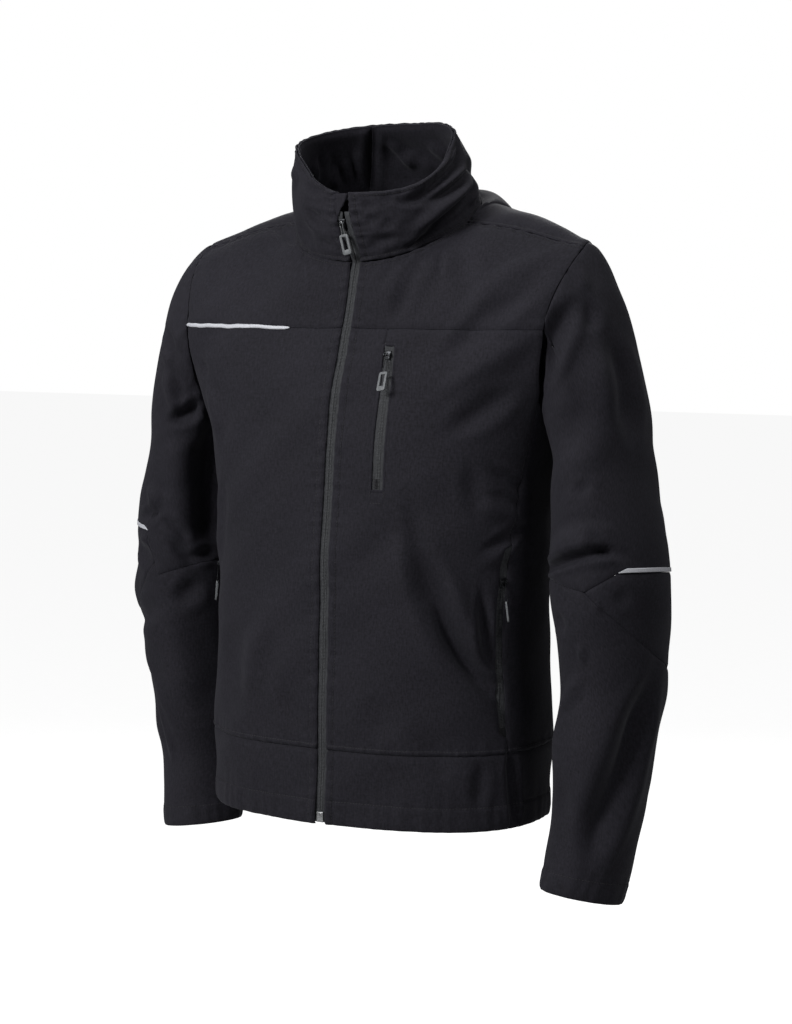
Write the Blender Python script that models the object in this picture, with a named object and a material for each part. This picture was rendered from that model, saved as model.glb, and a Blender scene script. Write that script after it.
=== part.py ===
"""A zipped softshell work jacket, filled out as if worn.

Metres, +Z up. The front faces -Y and +X is the wearer's left. The origin is
on the mid-plane at the height where the shoulders meet the neck.
Every panel is a thin wall built from a grid of points on the garment's form.
"""
import math
from bisect import bisect
from collections import namedtuple

import bpy
import numpy as np
from mathutils import Matrix, Vector

for leftover in list(bpy.data.objects):
    bpy.data.objects.remove(leftover, do_unlink=True)

# Cloth and seams
WALL = 0.0016            # softshell thickness
TAPE_WALL = 0.0010       # zip tape thickness
PIPING_WALL = 0.0008     # reflective piping thickness
SEAM_GAP = 0.0003        # clearance between two sewn pieces
SEAM_ROLL = 0.0012       # how far a seam's inner edge is drawn back from its outer edge
ARMHOLE_GAP = 0.0022     # clearance round the armhole, where the cloth turns a corner
COLLAR_SEAM_GAP = 0.0010     # clearance along the neck seam
ROLL_SHARE = 0.75        # most of a thin wall that a rolled edge may take
SMOOTH_ANGLE = math.radians(40)

# Heights on the body
HEM_Z = -0.648
WAIST_SEAM_Z = -0.569
YOKE_Z = -0.130
ARMHOLE_CORNER_Z = -0.205    # where the side seam and the back armhole edge meet the armhole
ARMPIT_DIP = 0.030           # how far the armhole dips below those corners
ARMPIT_START_Z = -0.300      # above this the side seam has the armhole's wider clearance

# Main zip
ZIP_HALF_GAP = 0.0055        # half of the width in which the zip shows
ZIP_TAPE_WIDTH = 0.014       # each tape below the neck, from the middle line outwards
ZIP_NECK_TAPE_WIDTH = 0.0038     # each tape where it runs up between the collar's edges
ZIP_NECK_Z = -0.095          # the tapes narrow above this height
ZIP_END_HEIGHT = 0.011
ZIP_HEM_OFFSET = 0.002       # the zip ends this far above the hem

# Chest pocket slot on the wearer's left front
CHEST_SLOT_X = 0.0585
CHEST_SLOT_HALF = 0.0058
CHEST_SLOT_TOP_Z = -0.148
CHEST_SLOT_BOTTOM_Z = -0.295

# Hand pocket openings in the side seams
POCKET_TOP_Z = -0.352
POCKET_BOTTOM_Z = -0.552
POCKET_OPEN = 0.009
POCKET_TAPE_MARGIN = 0.0035
POCKET_TAPE_END = 0.004      # how far a pocket's tape runs past its opening
CHEST_TAPE_END = 0.006

# Neck and collar
NECK_HALF_WIDTH = 0.103
NECK_HALF_DEPTH = 0.085
NECK_CENTRE_Y = 0.015
NECK_FRONT_Z = -0.061
NECK_BACK_Z = 0.018
NECK_RISE = 1.3              # how soon the neck seam rises from front to back
SHOULDER_NECK_ANGLE = math.radians(82)
RIM_HALF_WIDTH = 0.0890
RIM_HALF_DEPTH = 0.066
RIM_CENTRE_Y = -0.016
RIM_FRONT_Z = 0.011
RIM_BACK_Z = 0.089
RIM_CORNER = 0.5             # share of the rim's rise that comes early, on the wearer's right
RIM_CORNER_POWER = 8
COLLAR_BULGE = 0.006
COLLAR_TOP_HALF_GAP = 0.0025
FACING_SEAM_ANGLE = math.radians(-152)   # where the inner collar is joined, seen in the opening

# Shoulder tips
TIP_X = 0.2335
TIP_Y = 0.011
TIP_Z = -0.046
SHOULDER_ARCH = 0.004

# Reflective piping
CHEST_PIPING_START = 0.147   # its ends on the wearer's right yoke, as shares of the way
CHEST_PIPING_END = 0.985     # from the zip to the armhole
CHEST_PIPING_HEIGHT = 0.0052
ELBOW_PIPING_HEIGHT = 0.0042

# Half widths of the front and the back differ only above the armpit, where the armhole parts them
Section = namedtuple("Section", "z half_width back_half_width front back squareness")
TORSO = [
    Section(-0.648, 0.1900, 0.1900, -0.1280, 0.124, 2.4),
    Section(-0.569, 0.1915, 0.1915, -0.1265, 0.126, 2.4),
    Section(-0.4945, 0.1885, 0.1885, -0.1245, 0.125, 2.4),
    Section(-0.410, 0.1865, 0.1865, -0.1210, 0.124, 2.4),
    Section(-0.331, 0.1900, 0.1900, -0.1160, 0.128, 2.4),
    Section(-0.235, 0.2060, 0.2060, -0.1055, 0.139, 2.6),
    Section(-0.178, 0.2357, 0.2350, -0.0940, 0.145, 2.8),
    Section(-0.130, 0.2575, 0.2425, -0.0810, 0.147, 3.0),
]

EdgeRow = namedtuple("EdgeRow", "z y")
FRONT_EDGE = [               # side seam, then the front of the armhole
    EdgeRow(-0.648, -0.050),
    EdgeRow(-0.410, -0.050),
    EdgeRow(-0.340, -0.042),
    EdgeRow(-0.260, -0.032),
    EdgeRow(-0.205, -0.037),
    EdgeRow(-0.178, -0.046),
    EdgeRow(-0.130, -0.050),
]
BACK_EDGE = [                # back of the armhole
    EdgeRow(-0.205, 0.083),
    EdgeRow(-0.178, 0.095),
    EdgeRow(-0.130, 0.098),
]

Ring = namedtuple("Ring", "x y z half_width half_depth")
SLEEVE_RINGS = {
    "left": [
        Ring(0.256, 0.020, -0.270, 0.047, 0.075),
        Ring(0.271, 0.004, -0.385, 0.058, 0.073),
        Ring(0.277, 0.000, -0.489, 0.053, 0.065),
        Ring(0.272, -0.011, -0.569, 0.050, 0.061),
        Ring(0.267, -0.018, -0.634, 0.046, 0.053),
        Ring(0.259, -0.036, -0.715, 0.043, 0.047),
    ],
    "right": [
        Ring(0.252, 0.026, -0.270, 0.049, 0.075),
        Ring(0.268, 0.030, -0.385, 0.058, 0.073),
        Ring(0.263, 0.026, -0.489, 0.053, 0.064),
        Ring(0.253, 0.025, -0.570, 0.050, 0.059),
        Ring(0.249, 0.025, -0.630, 0.046, 0.052),
        Ring(0.238, 0.003, -0.694, 0.043, 0.046),
    ],
}
SeamRow = namedtuple("SeamRow", "angle left right")
ELBOW_SEAM = [                           # the seam above the elbow, in rings from the armhole
    SeamRow(-178, 2.03, 2.05),
    SeamRow(-110, 1.98, 1.95),
    SeamRow(-64, 1.97, 1.74),
    SeamRow(52, 1.97, 1.74),
    SeamRow(86, 2.07, 2.24),
    SeamRow(140, 2.03, 2.08),
    SeamRow(182, 2.03, 2.05),
]
ELBOW_FRONT = math.radians(86)           # front tip of the elbow insert
ELBOW_DEEPEST = math.radians(-45)        # where the insert is tallest
ELBOW_BACK = math.radians(-178)          # inner tip of the insert
ELBOW_DEPTH_RINGS = 0.92
PIPING_FRONT = math.radians(55)
PIPING_BACK = math.radians(-65)
CAP_FULLNESS = {"left": 0.50, "right": 1.15}     # how far each sleeve stands out below the tip

Fold = namedtuple("Fold", "x0 z0 x1 z1 width depth")
FRONT_FOLDS = [
    Fold(0.102, -0.345, 0.116, -0.420, 0.016, 0.0035),
    Fold(0.116, -0.420, 0.137, -0.470, 0.016, 0.0055),
    Fold(0.137, -0.470, 0.158, -0.512, 0.013, 0.0045),
    Fold(-0.150, -0.440, -0.160, -0.530, 0.020, -0.0040),
]
BACK_FOLDS = [
    Fold(0.120, -0.440, 0.030, -0.520, 0.022, 0.0050),
    Fold(-0.110, -0.400, -0.020, -0.490, 0.022, 0.0045),
    Fold(-0.150, -0.200, -0.080, -0.300, 0.024, 0.0040),
    Fold(0.150, -0.210, 0.090, -0.320, 0.024, 0.0040),
]
SleeveFold = namedtuple("SleeveFold", "side angle0 ring0 angle1 ring1 width depth")
SLEEVE_FOLDS = [
    SleeveFold("left", 40, 0.45, 100, 0.80, 0.018, 0.0050),
    SleeveFold("left", 150, 1.80, 60, 1.74, 0.013, 0.0060),
    SleeveFold("left", 60, 1.74, 35, 1.80, 0.012, 0.0045),
    SleeveFold("left", 10, 3.05, 75, 4.90, 0.018, 0.0040),
    SleeveFold("left", -100, 1.70, -30, 1.60, 0.016, 0.0045),
    SleeveFold("right", 35, 1.52, 125, 1.82, 0.013, 0.0060),
    SleeveFold("right", 70, 1.25, 150, 1.50, 0.016, 0.0050),
    SleeveFold("right", 50, 0.50, 120, 0.85, 0.018, 0.0045),
    SleeveFold("right", 30, 3.10, 70, 4.80, 0.018, 0.0040),
    SleeveFold("right", 10, 2.42, 50, 2.46, 0.022, -0.0060),
]

Finish = namedtuple("Finish", "red green blue roughness metallic")
CLOTH = Finish(0.025, 0.024, 0.029, 0.85, 0.0)
TAPE = Finish(0.048, 0.052, 0.055, 0.80, 0.0)
PIPING = Finish(0.62, 0.62, 0.68, 0.45, 0.0)
SLIDER = Finish(0.060, 0.065, 0.070, 0.40, 0.6)
PULL = Finish(0.30, 0.32, 0.34, 0.45, 0.0)

SIDE_BLEND = 0.5             # how gently the front's half width turns into the back's
BODY_CORE = Vector((0.0, 0.02, -0.30))


def smooth_through(x, xs, ys):
    """A smooth curve through the points (xs, ys), read at x."""
    xs = np.asarray(xs, float)
    ys = np.asarray(ys, float)
    slopes = np.gradient(ys, xs)
    index = int(np.clip(np.searchsorted(xs, x) - 1, 0, len(xs) - 2))
    span = xs[index + 1] - xs[index]
    u = (np.clip(x, xs[0], xs[-1]) - xs[index]) / span
    return hermite(u, ys[index], slopes[index] * span, ys[index + 1], slopes[index + 1] * span)


def hermite(u, start, start_slope, end, end_slope):
    """Cubic from start to end with the given slopes, at u from 0 to 1."""
    a = 2 * u ** 3 - 3 * u ** 2 + 1
    b = u ** 3 - 2 * u ** 2 + u
    c = -2 * u ** 3 + 3 * u ** 2
    d = u ** 3 - u ** 2
    return a * start + b * start_slope + c * end + d * end_slope


def read_rows(rows, field, z):
    return smooth_through(z, [row.z for row in rows], [getattr(row, field) for row in rows])


def signed_power(value, power):
    return math.copysign(abs(value) ** power, value)


def unit(vector):
    return vector / np.linalg.norm(vector)


# The body's form

def torso_size(z):
    front = read_rows(TORSO, "front", z)
    back = read_rows(TORSO, "back", z)
    power = read_rows(TORSO, "squareness", z)
    return (front + back) / 2, (back - front) / 2, power


def torso_half_width(angle, z):
    """Half width for the front, turning into that for the back round the side."""
    front = read_rows(TORSO, "half_width", z)
    back = read_rows(TORSO, "back_half_width", z)
    share = np.clip((1 - math.cos(angle) / SIDE_BLEND) / 2, 0.0, 1.0)
    return front + (back - front) * share


def torso_point(angle, z):
    """Angle runs from the centre front towards the wearer's left."""
    middle, half_depth, power = torso_size(z)
    x = torso_half_width(angle, z) * signed_power(math.sin(angle), 2 / power)
    y = middle - half_depth * signed_power(math.cos(angle), 2 / power)
    return np.array([x, y, z])


def angle_at_y(y, z):
    middle, half_depth, power = torso_size(z)
    return math.acos(signed_power((middle - y) / half_depth, power / 2))


def angle_at_x(x, z):
    power = torso_size(z)[-1]
    return math.asin((x / torso_half_width(0.0, z)) ** (power / 2))


def turn_for(angle, z, distance):
    """Change of angle that moves a point round the body by a distance."""
    step = 0.01
    speed = np.linalg.norm(torso_point(angle + step, z) - torso_point(angle - step, z)) / (2 * step)
    return distance / speed


def front_edge_angle(z):
    return angle_at_y(read_rows(FRONT_EDGE, "y", z), z)


def back_edge_angle(z):
    return angle_at_y(read_rows(BACK_EDGE, "y", z), z)


def neck_point(angle):
    low = ((1 + math.cos(angle)) / 2) ** NECK_RISE
    z = NECK_BACK_Z + (NECK_FRONT_Z - NECK_BACK_Z) * low
    x = NECK_HALF_WIDTH * math.sin(angle)
    y = NECK_CENTRE_Y - NECK_HALF_DEPTH * math.cos(angle)
    return np.array([x, y, z])


def rim_point(angle):
    near = (1 + math.cos(angle)) / 2
    low = near * near * (3 - 2 * near)
    if math.sin(angle) < 0:
        low = RIM_CORNER * near ** RIM_CORNER_POWER + (1 - RIM_CORNER) * near
    z = RIM_BACK_Z + (RIM_FRONT_Z - RIM_BACK_Z) * low
    x = RIM_HALF_WIDTH * math.sin(angle)
    y = RIM_CENTRE_Y - RIM_HALF_DEPTH * math.cos(angle)
    return np.array([x, y, z])


def collar_point(angle, height):
    """Height runs from 0 at the neck seam to 1 at the rim."""
    base = neck_point(angle)
    point = base + (rim_point(angle) - base) * height
    out = np.array([math.sin(angle), -math.cos(angle), 0.0])
    return point + out * COLLAR_BULGE * math.sin(math.pi * height)


def shoulder_point(share):
    """Forward shoulder seam, from the neck (0) to the tip (1), on the wearer's left."""
    start = neck_point(SHOULDER_NECK_ANGLE)
    end = np.array([TIP_X, TIP_Y, TIP_Z])
    arch = np.array([0.0, 0.0, SHOULDER_ARCH]) * math.sin(math.pi * share)
    return start + (end - start) * share + arch


RIDGE_LEAN = 1.85            # how far the shoulder ridge stands up behind the shoulder seam
TIP_LEAN = 1.1               # the same at the shoulder tip
NECK_LEAN = 1.2              # and behind the neck
RIDGE_POWER = 1.5            # how soon the ridge begins beside the neck
YOKE_NECK_SHARE = 0.42       # share of the yoke's top edge that lies on the neck seam

# Directions in which the cloth leaves the yoke seam's height and meets the upper seams
YOKE_LOW_WAY = unit(np.array([0.0, 0.25, 1.0]))
YOKE_NECK_WAY = np.array([0.0, 0.40, 0.90])
YOKE_SHOULDER_WAY = np.array([0.0, 0.90, 0.45])
BACK_LOW_WAY = unit(np.array([0.0, -0.12, 1.0]))
FORWARD = np.array([0.0, -1.0, 0.0])
BACK_NECK_SLOPE = -0.20      # slope at which the back meets the neck seam behind the neck
BACK_SHOULDER_SLOPE = -0.85  # and the shoulder seam


def yoke_point(across, up):
    """Across runs from the zip (0) to the armhole (1), up from the yoke seam to the top edge."""
    zip_angle = angle_at_x(ZIP_HALF_GAP, YOKE_Z)
    edge_angle = front_edge_angle(YOKE_Z)
    low = torso_point(zip_angle + (edge_angle - zip_angle) * across, YOKE_Z)
    neck_start = math.asin(ZIP_HALF_GAP / NECK_HALF_WIDTH)
    if across <= YOKE_NECK_SHARE:
        share = across / YOKE_NECK_SHARE
        high = neck_point(neck_start + (SHOULDER_NECK_ANGLE - neck_start) * share)
        top_way = unit(YOKE_NECK_WAY + (YOKE_SHOULDER_WAY - YOKE_NECK_WAY) * share)
    else:
        share = (across - YOKE_NECK_SHARE) / (1 - YOKE_NECK_SHARE)
        high = shoulder_point(share)
        top_way = unit(YOKE_SHOULDER_WAY)
    reach = np.linalg.norm(high - low)
    return hermite(up, low, YOKE_LOW_WAY * reach, high, top_way * reach)


def back_top_point(across, up):
    """Across runs from the left shoulder tip (-1) to the right one (1), over the ridge."""
    side = -1.0 if across > 0 else 1.0
    share = abs(across)
    edge_angle = back_edge_angle(YOKE_Z)
    low = torso_point(math.pi - (math.pi - edge_angle) * share, YOKE_Z)
    if share <= YOKE_NECK_SHARE:
        turn = share / YOKE_NECK_SHARE
        over = turn ** RIDGE_POWER
        high = neck_point(math.pi + (SHOULDER_NECK_ANGLE - math.pi) * turn)
        level_way = unit((high - low) * np.array([1.0, 1.0, 0.0]))
        lean = NECK_LEAN + (RIDGE_LEAN - NECK_LEAN) * over
    else:
        over = 1.0
        seam_share = (share - YOKE_NECK_SHARE) / (1 - YOKE_NECK_SHARE)
        high = shoulder_point(seam_share)
        level_way = FORWARD
        lean = RIDGE_LEAN + (TIP_LEAN - RIDGE_LEAN) * seam_share
    slope = BACK_NECK_SLOPE + (BACK_SHOULDER_SLOPE - BACK_NECK_SLOPE) * over
    top_way = unit(unit(level_way * (1 - over) + FORWARD * over) + np.array([0.0, 0.0, slope]))
    reach = np.linalg.norm(high - low)
    point = hermite(up, low, BACK_LOW_WAY * reach, high, top_way * reach * lean)
    point[0] *= side
    return point


def armpit_z(angle):
    """Lower edge of the armhole, between the side seam and the back armhole edge."""
    start = front_edge_angle(ARMHOLE_CORNER_Z)
    end = back_edge_angle(ARMHOLE_CORNER_Z)
    share = np.clip((abs(angle) - start) / (end - start), 0.0, 1.0)
    return ARMHOLE_CORNER_Z - ARMPIT_DIP * math.sin(math.pi * share)


# The sleeves' form

LOOP_STEPS = 14
LEAVE_OUT = 0.12             # how far the sleeve stands out as it leaves the armhole
LEAVE_FLATTER = 0.25         # how much less steeply its top leaves than its underside
UNDERARM_EASE = 0.55         # share of the top's length in which the underside turns down


def armhole_halves():
    """Two polylines on the wearer's left, from the shoulder tip to the armpit: front and back."""
    steps = np.linspace(0, 1, LOOP_STEPS)
    start = front_edge_angle(ARMHOLE_CORNER_Z)
    end = back_edge_angle(ARMHOLE_CORNER_Z)
    middle = (start + end) / 2
    front = [yoke_point(1.0, 1 - u) for u in steps]
    back = [back_top_point(-1.0, 1 - u) for u in steps]
    for u in steps[1:]:
        z = YOKE_Z + (ARMHOLE_CORNER_Z - YOKE_Z) * u
        front.append(torso_point(front_edge_angle(z), z))
        back.append(torso_point(back_edge_angle(z), z))
    for u in steps[1:]:
        front_angle = start + (middle - start) * u
        back_angle = end + (middle - end) * u
        front.append(torso_point(front_angle, armpit_z(front_angle)))
        back.append(torso_point(back_angle, armpit_z(back_angle)))
    return np.array(front), np.array(back)


def along(polyline, share):
    lengths = np.linalg.norm(np.diff(polyline, axis=0), axis=1)
    run = np.concatenate([[0.0], np.cumsum(lengths)]) / lengths.sum()
    return np.array([np.interp(share, run, polyline[:, axis]) for axis in range(3)])


FRONT_LOOP, BACK_LOOP = armhole_halves()


def loop_point(angle):
    """Armhole point. Angle is 0 at the shoulder tip, 90 degrees in front, 180 under the arm."""
    turn = (angle + math.pi) % (2 * math.pi) - math.pi
    half = FRONT_LOOP if turn >= 0 else BACK_LOOP
    return along(half, abs(turn) / math.pi)


def ring_point(rings, index, angle):
    centres = np.array([[ring.x, ring.y, ring.z] for ring in rings])
    before = centres[max(index - 1, 0)]
    after = centres[min(index + 1, len(rings) - 1)]
    axis = unit(after - before)
    outward = np.array([1.0, 0.0, 0.0])
    outward = unit(outward - axis * outward.dot(axis))
    forward = np.cross(outward, axis)
    forward = forward if forward[1] < 0 else -forward
    ring = rings[index]
    offset = outward * ring.half_width * math.cos(angle) + forward * ring.half_depth * math.sin(angle)
    return centres[index] + offset


def sleeve_point(side, angle, level):
    """Level counts rings: 0 at the armhole, 1 at the first ring, and so on to the cuff."""
    rings = SLEEVE_RINGS[side]
    stations = [loop_point(angle)] + [ring_point(rings, i, angle) for i in range(len(rings))]
    stations = np.array(stations)
    top = (1 + math.cos(angle)) / 2
    leave = unit(np.array([LEAVE_OUT + CAP_FULLNESS[side] * top, 0.0, LEAVE_FLATTER * top - 1.0]))
    stations[0] = stations[0] + leave * ARMHOLE_GAP
    index = int(np.clip(math.floor(level), 0, len(rings) - 1))
    slopes = np.gradient(stations, axis=0)
    chord = np.linalg.norm(stations[1] - stations[0])
    slopes[0] = leave * chord
    slopes[1] = unit(stations[2] - stations[1]) * chord * (UNDERARM_EASE + (1 - UNDERARM_EASE) * top)
    start_slope = slopes[index]
    if index == 1:
        start_slope = stations[2] - stations[1]
    point = hermite(level - index, stations[index], start_slope, stations[index + 1], slopes[index + 1])
    if side == "right":
        point = point * np.array([-1.0, 1.0, 1.0])
    return point


def seam_level(side, angle):
    """Level of the seam above the elbow, in rings."""
    turned = math.degrees(turned_back(angle))
    levels = [getattr(row, side) for row in ELBOW_SEAM]
    return float(np.interp(turned, [row.angle for row in ELBOW_SEAM], levels))


def turned_back(angle):
    """The same direction as an angle within the elbow seam's table."""
    first = math.radians(ELBOW_SEAM[0].angle)
    return (angle - first) % (2 * math.pi) + first


def insert_low_level(side, angle):
    """Level of the elbow insert's lower edge, or of the seam where there is no insert."""
    if not ELBOW_BACK < angle < ELBOW_FRONT:
        return seam_level(side, angle)
    start = seam_level(side, ELBOW_BACK)
    end = seam_level(side, ELBOW_FRONT)
    base = start + (end - start) * (angle - ELBOW_BACK) / (ELBOW_FRONT - ELBOW_BACK)
    return base + elbow_depth(angle)


def elbow_depth(angle):
    """Height of the elbow insert below the seam, in rings."""
    if angle >= ELBOW_FRONT or angle <= ELBOW_BACK:
        return 0.0
    if angle > ELBOW_DEEPEST:
        share = (ELBOW_FRONT - angle) / (ELBOW_FRONT - ELBOW_DEEPEST)
    else:
        share = (angle - ELBOW_BACK) / (ELBOW_DEEPEST - ELBOW_BACK)
    return ELBOW_DEPTH_RINGS * math.sin(math.pi / 2 * share)


# Folds and walls

def fold_ends():
    """Folds as (start, end, width, depth), with their ends on the cloth."""
    folds = []
    for fold in FRONT_FOLDS:
        ends = []
        for x, z in ((fold.x0, fold.z0), (fold.x1, fold.z1)):
            ends.append(torso_point(math.copysign(angle_at_x(abs(x), z), x), z))
        folds.append((*ends, fold.width, fold.depth))
    for fold in BACK_FOLDS:
        ends = []
        for x, z in ((fold.x0, fold.z0), (fold.x1, fold.z1)):
            ends.append(torso_point(math.pi - math.copysign(angle_at_x(abs(x), z), x), z))
        folds.append((*ends, fold.width, fold.depth))
    for fold in SLEEVE_FOLDS:
        start = sleeve_point(fold.side, math.radians(fold.angle0), fold.ring0)
        end = sleeve_point(fold.side, math.radians(fold.angle1), fold.ring1)
        folds.append((start, end, fold.width, fold.depth))
    return folds


FOLDS = fold_ends()


def fold_depths(points):
    """How far each point sinks (or rises, if negative) in the folds near it."""
    total = np.zeros(points.shape[:-1])
    for start, end, width, depth in FOLDS:
        run = end - start
        share = np.clip((points - start) @ run / run.dot(run), 0.0, 1.0)
        away = np.linalg.norm(points - start - share[..., None] * run, axis=-1)
        total += depth * np.exp(-((away / width) ** 2))
    return total


def kept_cells(keep, shape, closed):
    rows, columns = shape
    spans = columns if closed else columns - 1
    for row in range(rows - 1):
        for column in range(spans):
            if keep is None or keep(row, column):
                yield row, column


def corners(row, column, columns):
    right = (column + 1) % columns
    return (row, column), (row, right), (row + 1, right), (row + 1, column)


def grid_normals(grid, keep, closed, core):
    """Unit normals that point away from core, averaged over the kept cells."""
    total = np.zeros_like(grid)
    for row, column in kept_cells(keep, grid.shape[:2], closed):
        a, b, c, d = corners(row, column, grid.shape[1])
        cell = np.cross(grid[c] - grid[a], grid[d] - grid[b])
        for corner in (a, b, c, d):
            total[corner] += cell
    lengths = np.linalg.norm(total, axis=-1, keepdims=True)
    normals = total / np.where(lengths > 0, lengths, 1.0)
    outwards = float(np.sum(normals * (grid - np.array(core))))
    return (normals, True) if outwards > 0 else (-normals, False)


def make_material(name, finish):
    material = bpy.data.materials.new(name)
    material.use_nodes = True
    shader = material.node_tree.nodes["Principled BSDF"]
    shader.inputs["Base Color"].default_value = (finish.red, finish.green, finish.blue, 1.0)
    shader.inputs["Roughness"].default_value = finish.roughness
    shader.inputs["Metallic"].default_value = finish.metallic
    return material


def add_mesh(name, vertices, faces, finish):
    mesh = bpy.data.meshes.new(name)
    mesh.from_pydata([tuple(map(float, vertex)) for vertex in vertices], [], faces)
    mesh.materials.append(make_material(name, finish))
    piece = bpy.data.objects.new(name, mesh)
    bpy.context.scene.collection.objects.link(piece)
    return piece


def shell_faces(shape, keep, closed, forwards):
    """Vertex keys and faces of a closed wall over the kept cells of a grid."""
    cells = set(kept_cells(keep, shape, closed))
    keys = {}
    faces = []

    def vertex(corner, layer):
        return keys.setdefault((corner, layer), len(keys))

    for row, column in sorted(cells):
        ring = corners(row, column, shape[1])
        left = (column - 1) % shape[1] if closed else column - 1
        right = (column + 1) % shape[1] if closed else column + 1
        beyond = ((row - 1, column), (row, right), (row + 1, column), (row, left))
        edges = [(ring[i], ring[(i + 1) % 4], beyond[i]) for i in range(4)]
        outer = [vertex(corner, 0) for corner in ring]
        inner = [vertex(corner, 1) for corner in reversed(ring)]
        faces.append(outer if forwards else outer[::-1])
        faces.append(inner if forwards else inner[::-1])
        for start, end, neighbour in edges:
            if neighbour in cells:
                continue
            side = [vertex(end, 0), vertex(start, 0), vertex(start, 1), vertex(end, 1)]
            faces.append(side if forwards else side[::-1])
    return keys, faces


def add_wall(name, grid, finish, core=BODY_CORE, thickness=WALL, keep=None, closed=False, lift=0.0):
    """A wall whose outer face follows the grid, lifted off it, with the folds pressed in."""
    grid = np.asarray(grid, float)
    normals, forwards = grid_normals(grid, keep, closed, core)
    outer = grid + normals * (lift - fold_depths(grid))[..., None]
    inner = outer - normals * thickness
    roll = min(SEAM_ROLL, thickness * ROLL_SHARE)
    ends = 0.0 if closed else roll
    inner = trim(inner, first_row=roll, last_row=roll, first_column=ends, last_column=ends)
    keys, faces = shell_faces(grid.shape[:2], keep, closed, forwards)
    vertices = [(outer, inner)[layer][corner] for corner, layer in keys]
    piece = add_mesh(name, vertices, faces, finish)
    piece.data.shade_smooth()
    piece.data.set_sharp_from_angle(angle=SMOOTH_ANGLE)
    return piece


def trim(grid, first_row=0.0, last_row=0.0, first_column=0.0, last_column=0.0):
    """Draw the grid's edges in by the given distances, to leave the gaps at the seams."""
    grid = np.array(grid, float)

    def drawn(edge, inside, distance):
        step = inside - edge
        length = np.linalg.norm(step, axis=-1, keepdims=True)
        return edge + step * (distance / np.where(length > 0, length, 1.0))

    grid[0] = drawn(grid[0], grid[1], first_row)
    grid[-1] = drawn(grid[-1], grid[-2], last_row)
    grid[:, 0] = drawn(grid[:, 0], grid[:, 1], first_column)
    grid[:, -1] = drawn(grid[:, -1], grid[:, -2], last_column)
    return grid


HALF_GAP = SEAM_GAP / 2
HALF_ARMHOLE_GAP = ARMHOLE_GAP / 2


# Fronts, yokes and waistband

FRONT_LEVELS = [
    WAIST_SEAM_Z, POCKET_BOTTOM_Z, -0.515, -0.478, -0.440, -0.404, -0.375, POCKET_TOP_Z, -0.325,
    CHEST_SLOT_BOTTOM_Z, -0.262, -0.232, ARMHOLE_CORNER_Z, -0.176, CHEST_SLOT_TOP_Z, YOKE_Z,
]
FRONT_INNER_COLUMNS = 3      # columns between the zip and the chest slot
FRONT_OUTER_COLUMNS = 6      # columns between the chest slot and the edge
EDGE_COLUMN = 0.018          # width of the last column, at the side seam or armhole


def pocket_opening(z):
    inside = POCKET_BOTTOM_Z < z < POCKET_TOP_Z
    return POCKET_OPEN if inside else 0.0


def front_angles(z):
    """Column angles from the zip edge to the side seam or armhole."""
    zip_edge = angle_at_x(ZIP_HALF_GAP, z)
    slot_start = angle_at_x(CHEST_SLOT_X - CHEST_SLOT_HALF, z)
    slot_end = angle_at_x(CHEST_SLOT_X + CHEST_SLOT_HALF, z)
    edge = front_edge_angle(z)
    inner = np.linspace(zip_edge, slot_start, FRONT_INNER_COLUMNS + 1)
    last = edge - turn_for(edge, z, EDGE_COLUMN)
    outer = np.linspace(slot_end, last, FRONT_OUTER_COLUMNS)
    return np.concatenate([inner, outer, [edge]])


def front_grid():
    grid = []
    for z in FRONT_LEVELS:
        row = [torso_point(angle, z) for angle in front_angles(z)]
        step = row[-2] - row[-1]
        row[-1] = row[-1] + unit(step) * pocket_opening(z)
        grid.append(row)
    grid = trim(grid, first_row=HALF_GAP, last_row=HALF_GAP)
    armpit_row = bisect(FRONT_LEVELS, ARMPIT_START_Z)
    side = trim(grid, last_column=HALF_GAP)
    armhole = trim(grid, last_column=HALF_ARMHOLE_GAP)
    grid[:armpit_row, -1] = side[:armpit_row, -1]
    grid[armpit_row:, -1] = armhole[armpit_row:, -1]
    return grid


def outside_chest_slot(row, column):
    rows = range(FRONT_LEVELS.index(CHEST_SLOT_BOTTOM_Z), FRONT_LEVELS.index(CHEST_SLOT_TOP_Z))
    return column != FRONT_INNER_COLUMNS or row not in rows


MIRROR = np.array([-1.0, 1.0, 1.0])
SIDES = {"left": np.array([1.0, 1.0, 1.0]), "right": MIRROR}
YOKE_COLUMNS = 12
YOKE_ROWS = 5


def build_fronts():
    front = front_grid()
    yoke = [[yoke_point(column / YOKE_COLUMNS, row / YOKE_ROWS) for column in range(YOKE_COLUMNS + 1)]
            for row in range(YOKE_ROWS + 1)]
    yoke = trim(yoke, first_row=HALF_GAP, last_row=HALF_GAP, last_column=HALF_ARMHOLE_GAP)
    for side, mirror in SIDES.items():
        keep = outside_chest_slot if side == "left" else None
        add_wall("front_" + side, front * mirror, CLOTH, keep=keep)
        add_wall("yoke_" + side, yoke * mirror, CLOTH)


BAND_LEVELS = np.linspace(HEM_Z, WAIST_SEAM_Z, 4)
BAND_FRONT_COLUMNS = 9
BAND_BACK_COLUMNS = 24


def band_grid(first_angle, last_angle, columns):
    grid = []
    for z in BAND_LEVELS:
        start = first_angle(z)
        end = last_angle(z)
        grid.append([torso_point(angle, z) for angle in np.linspace(start, end, columns + 1)])
    return grid


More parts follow.
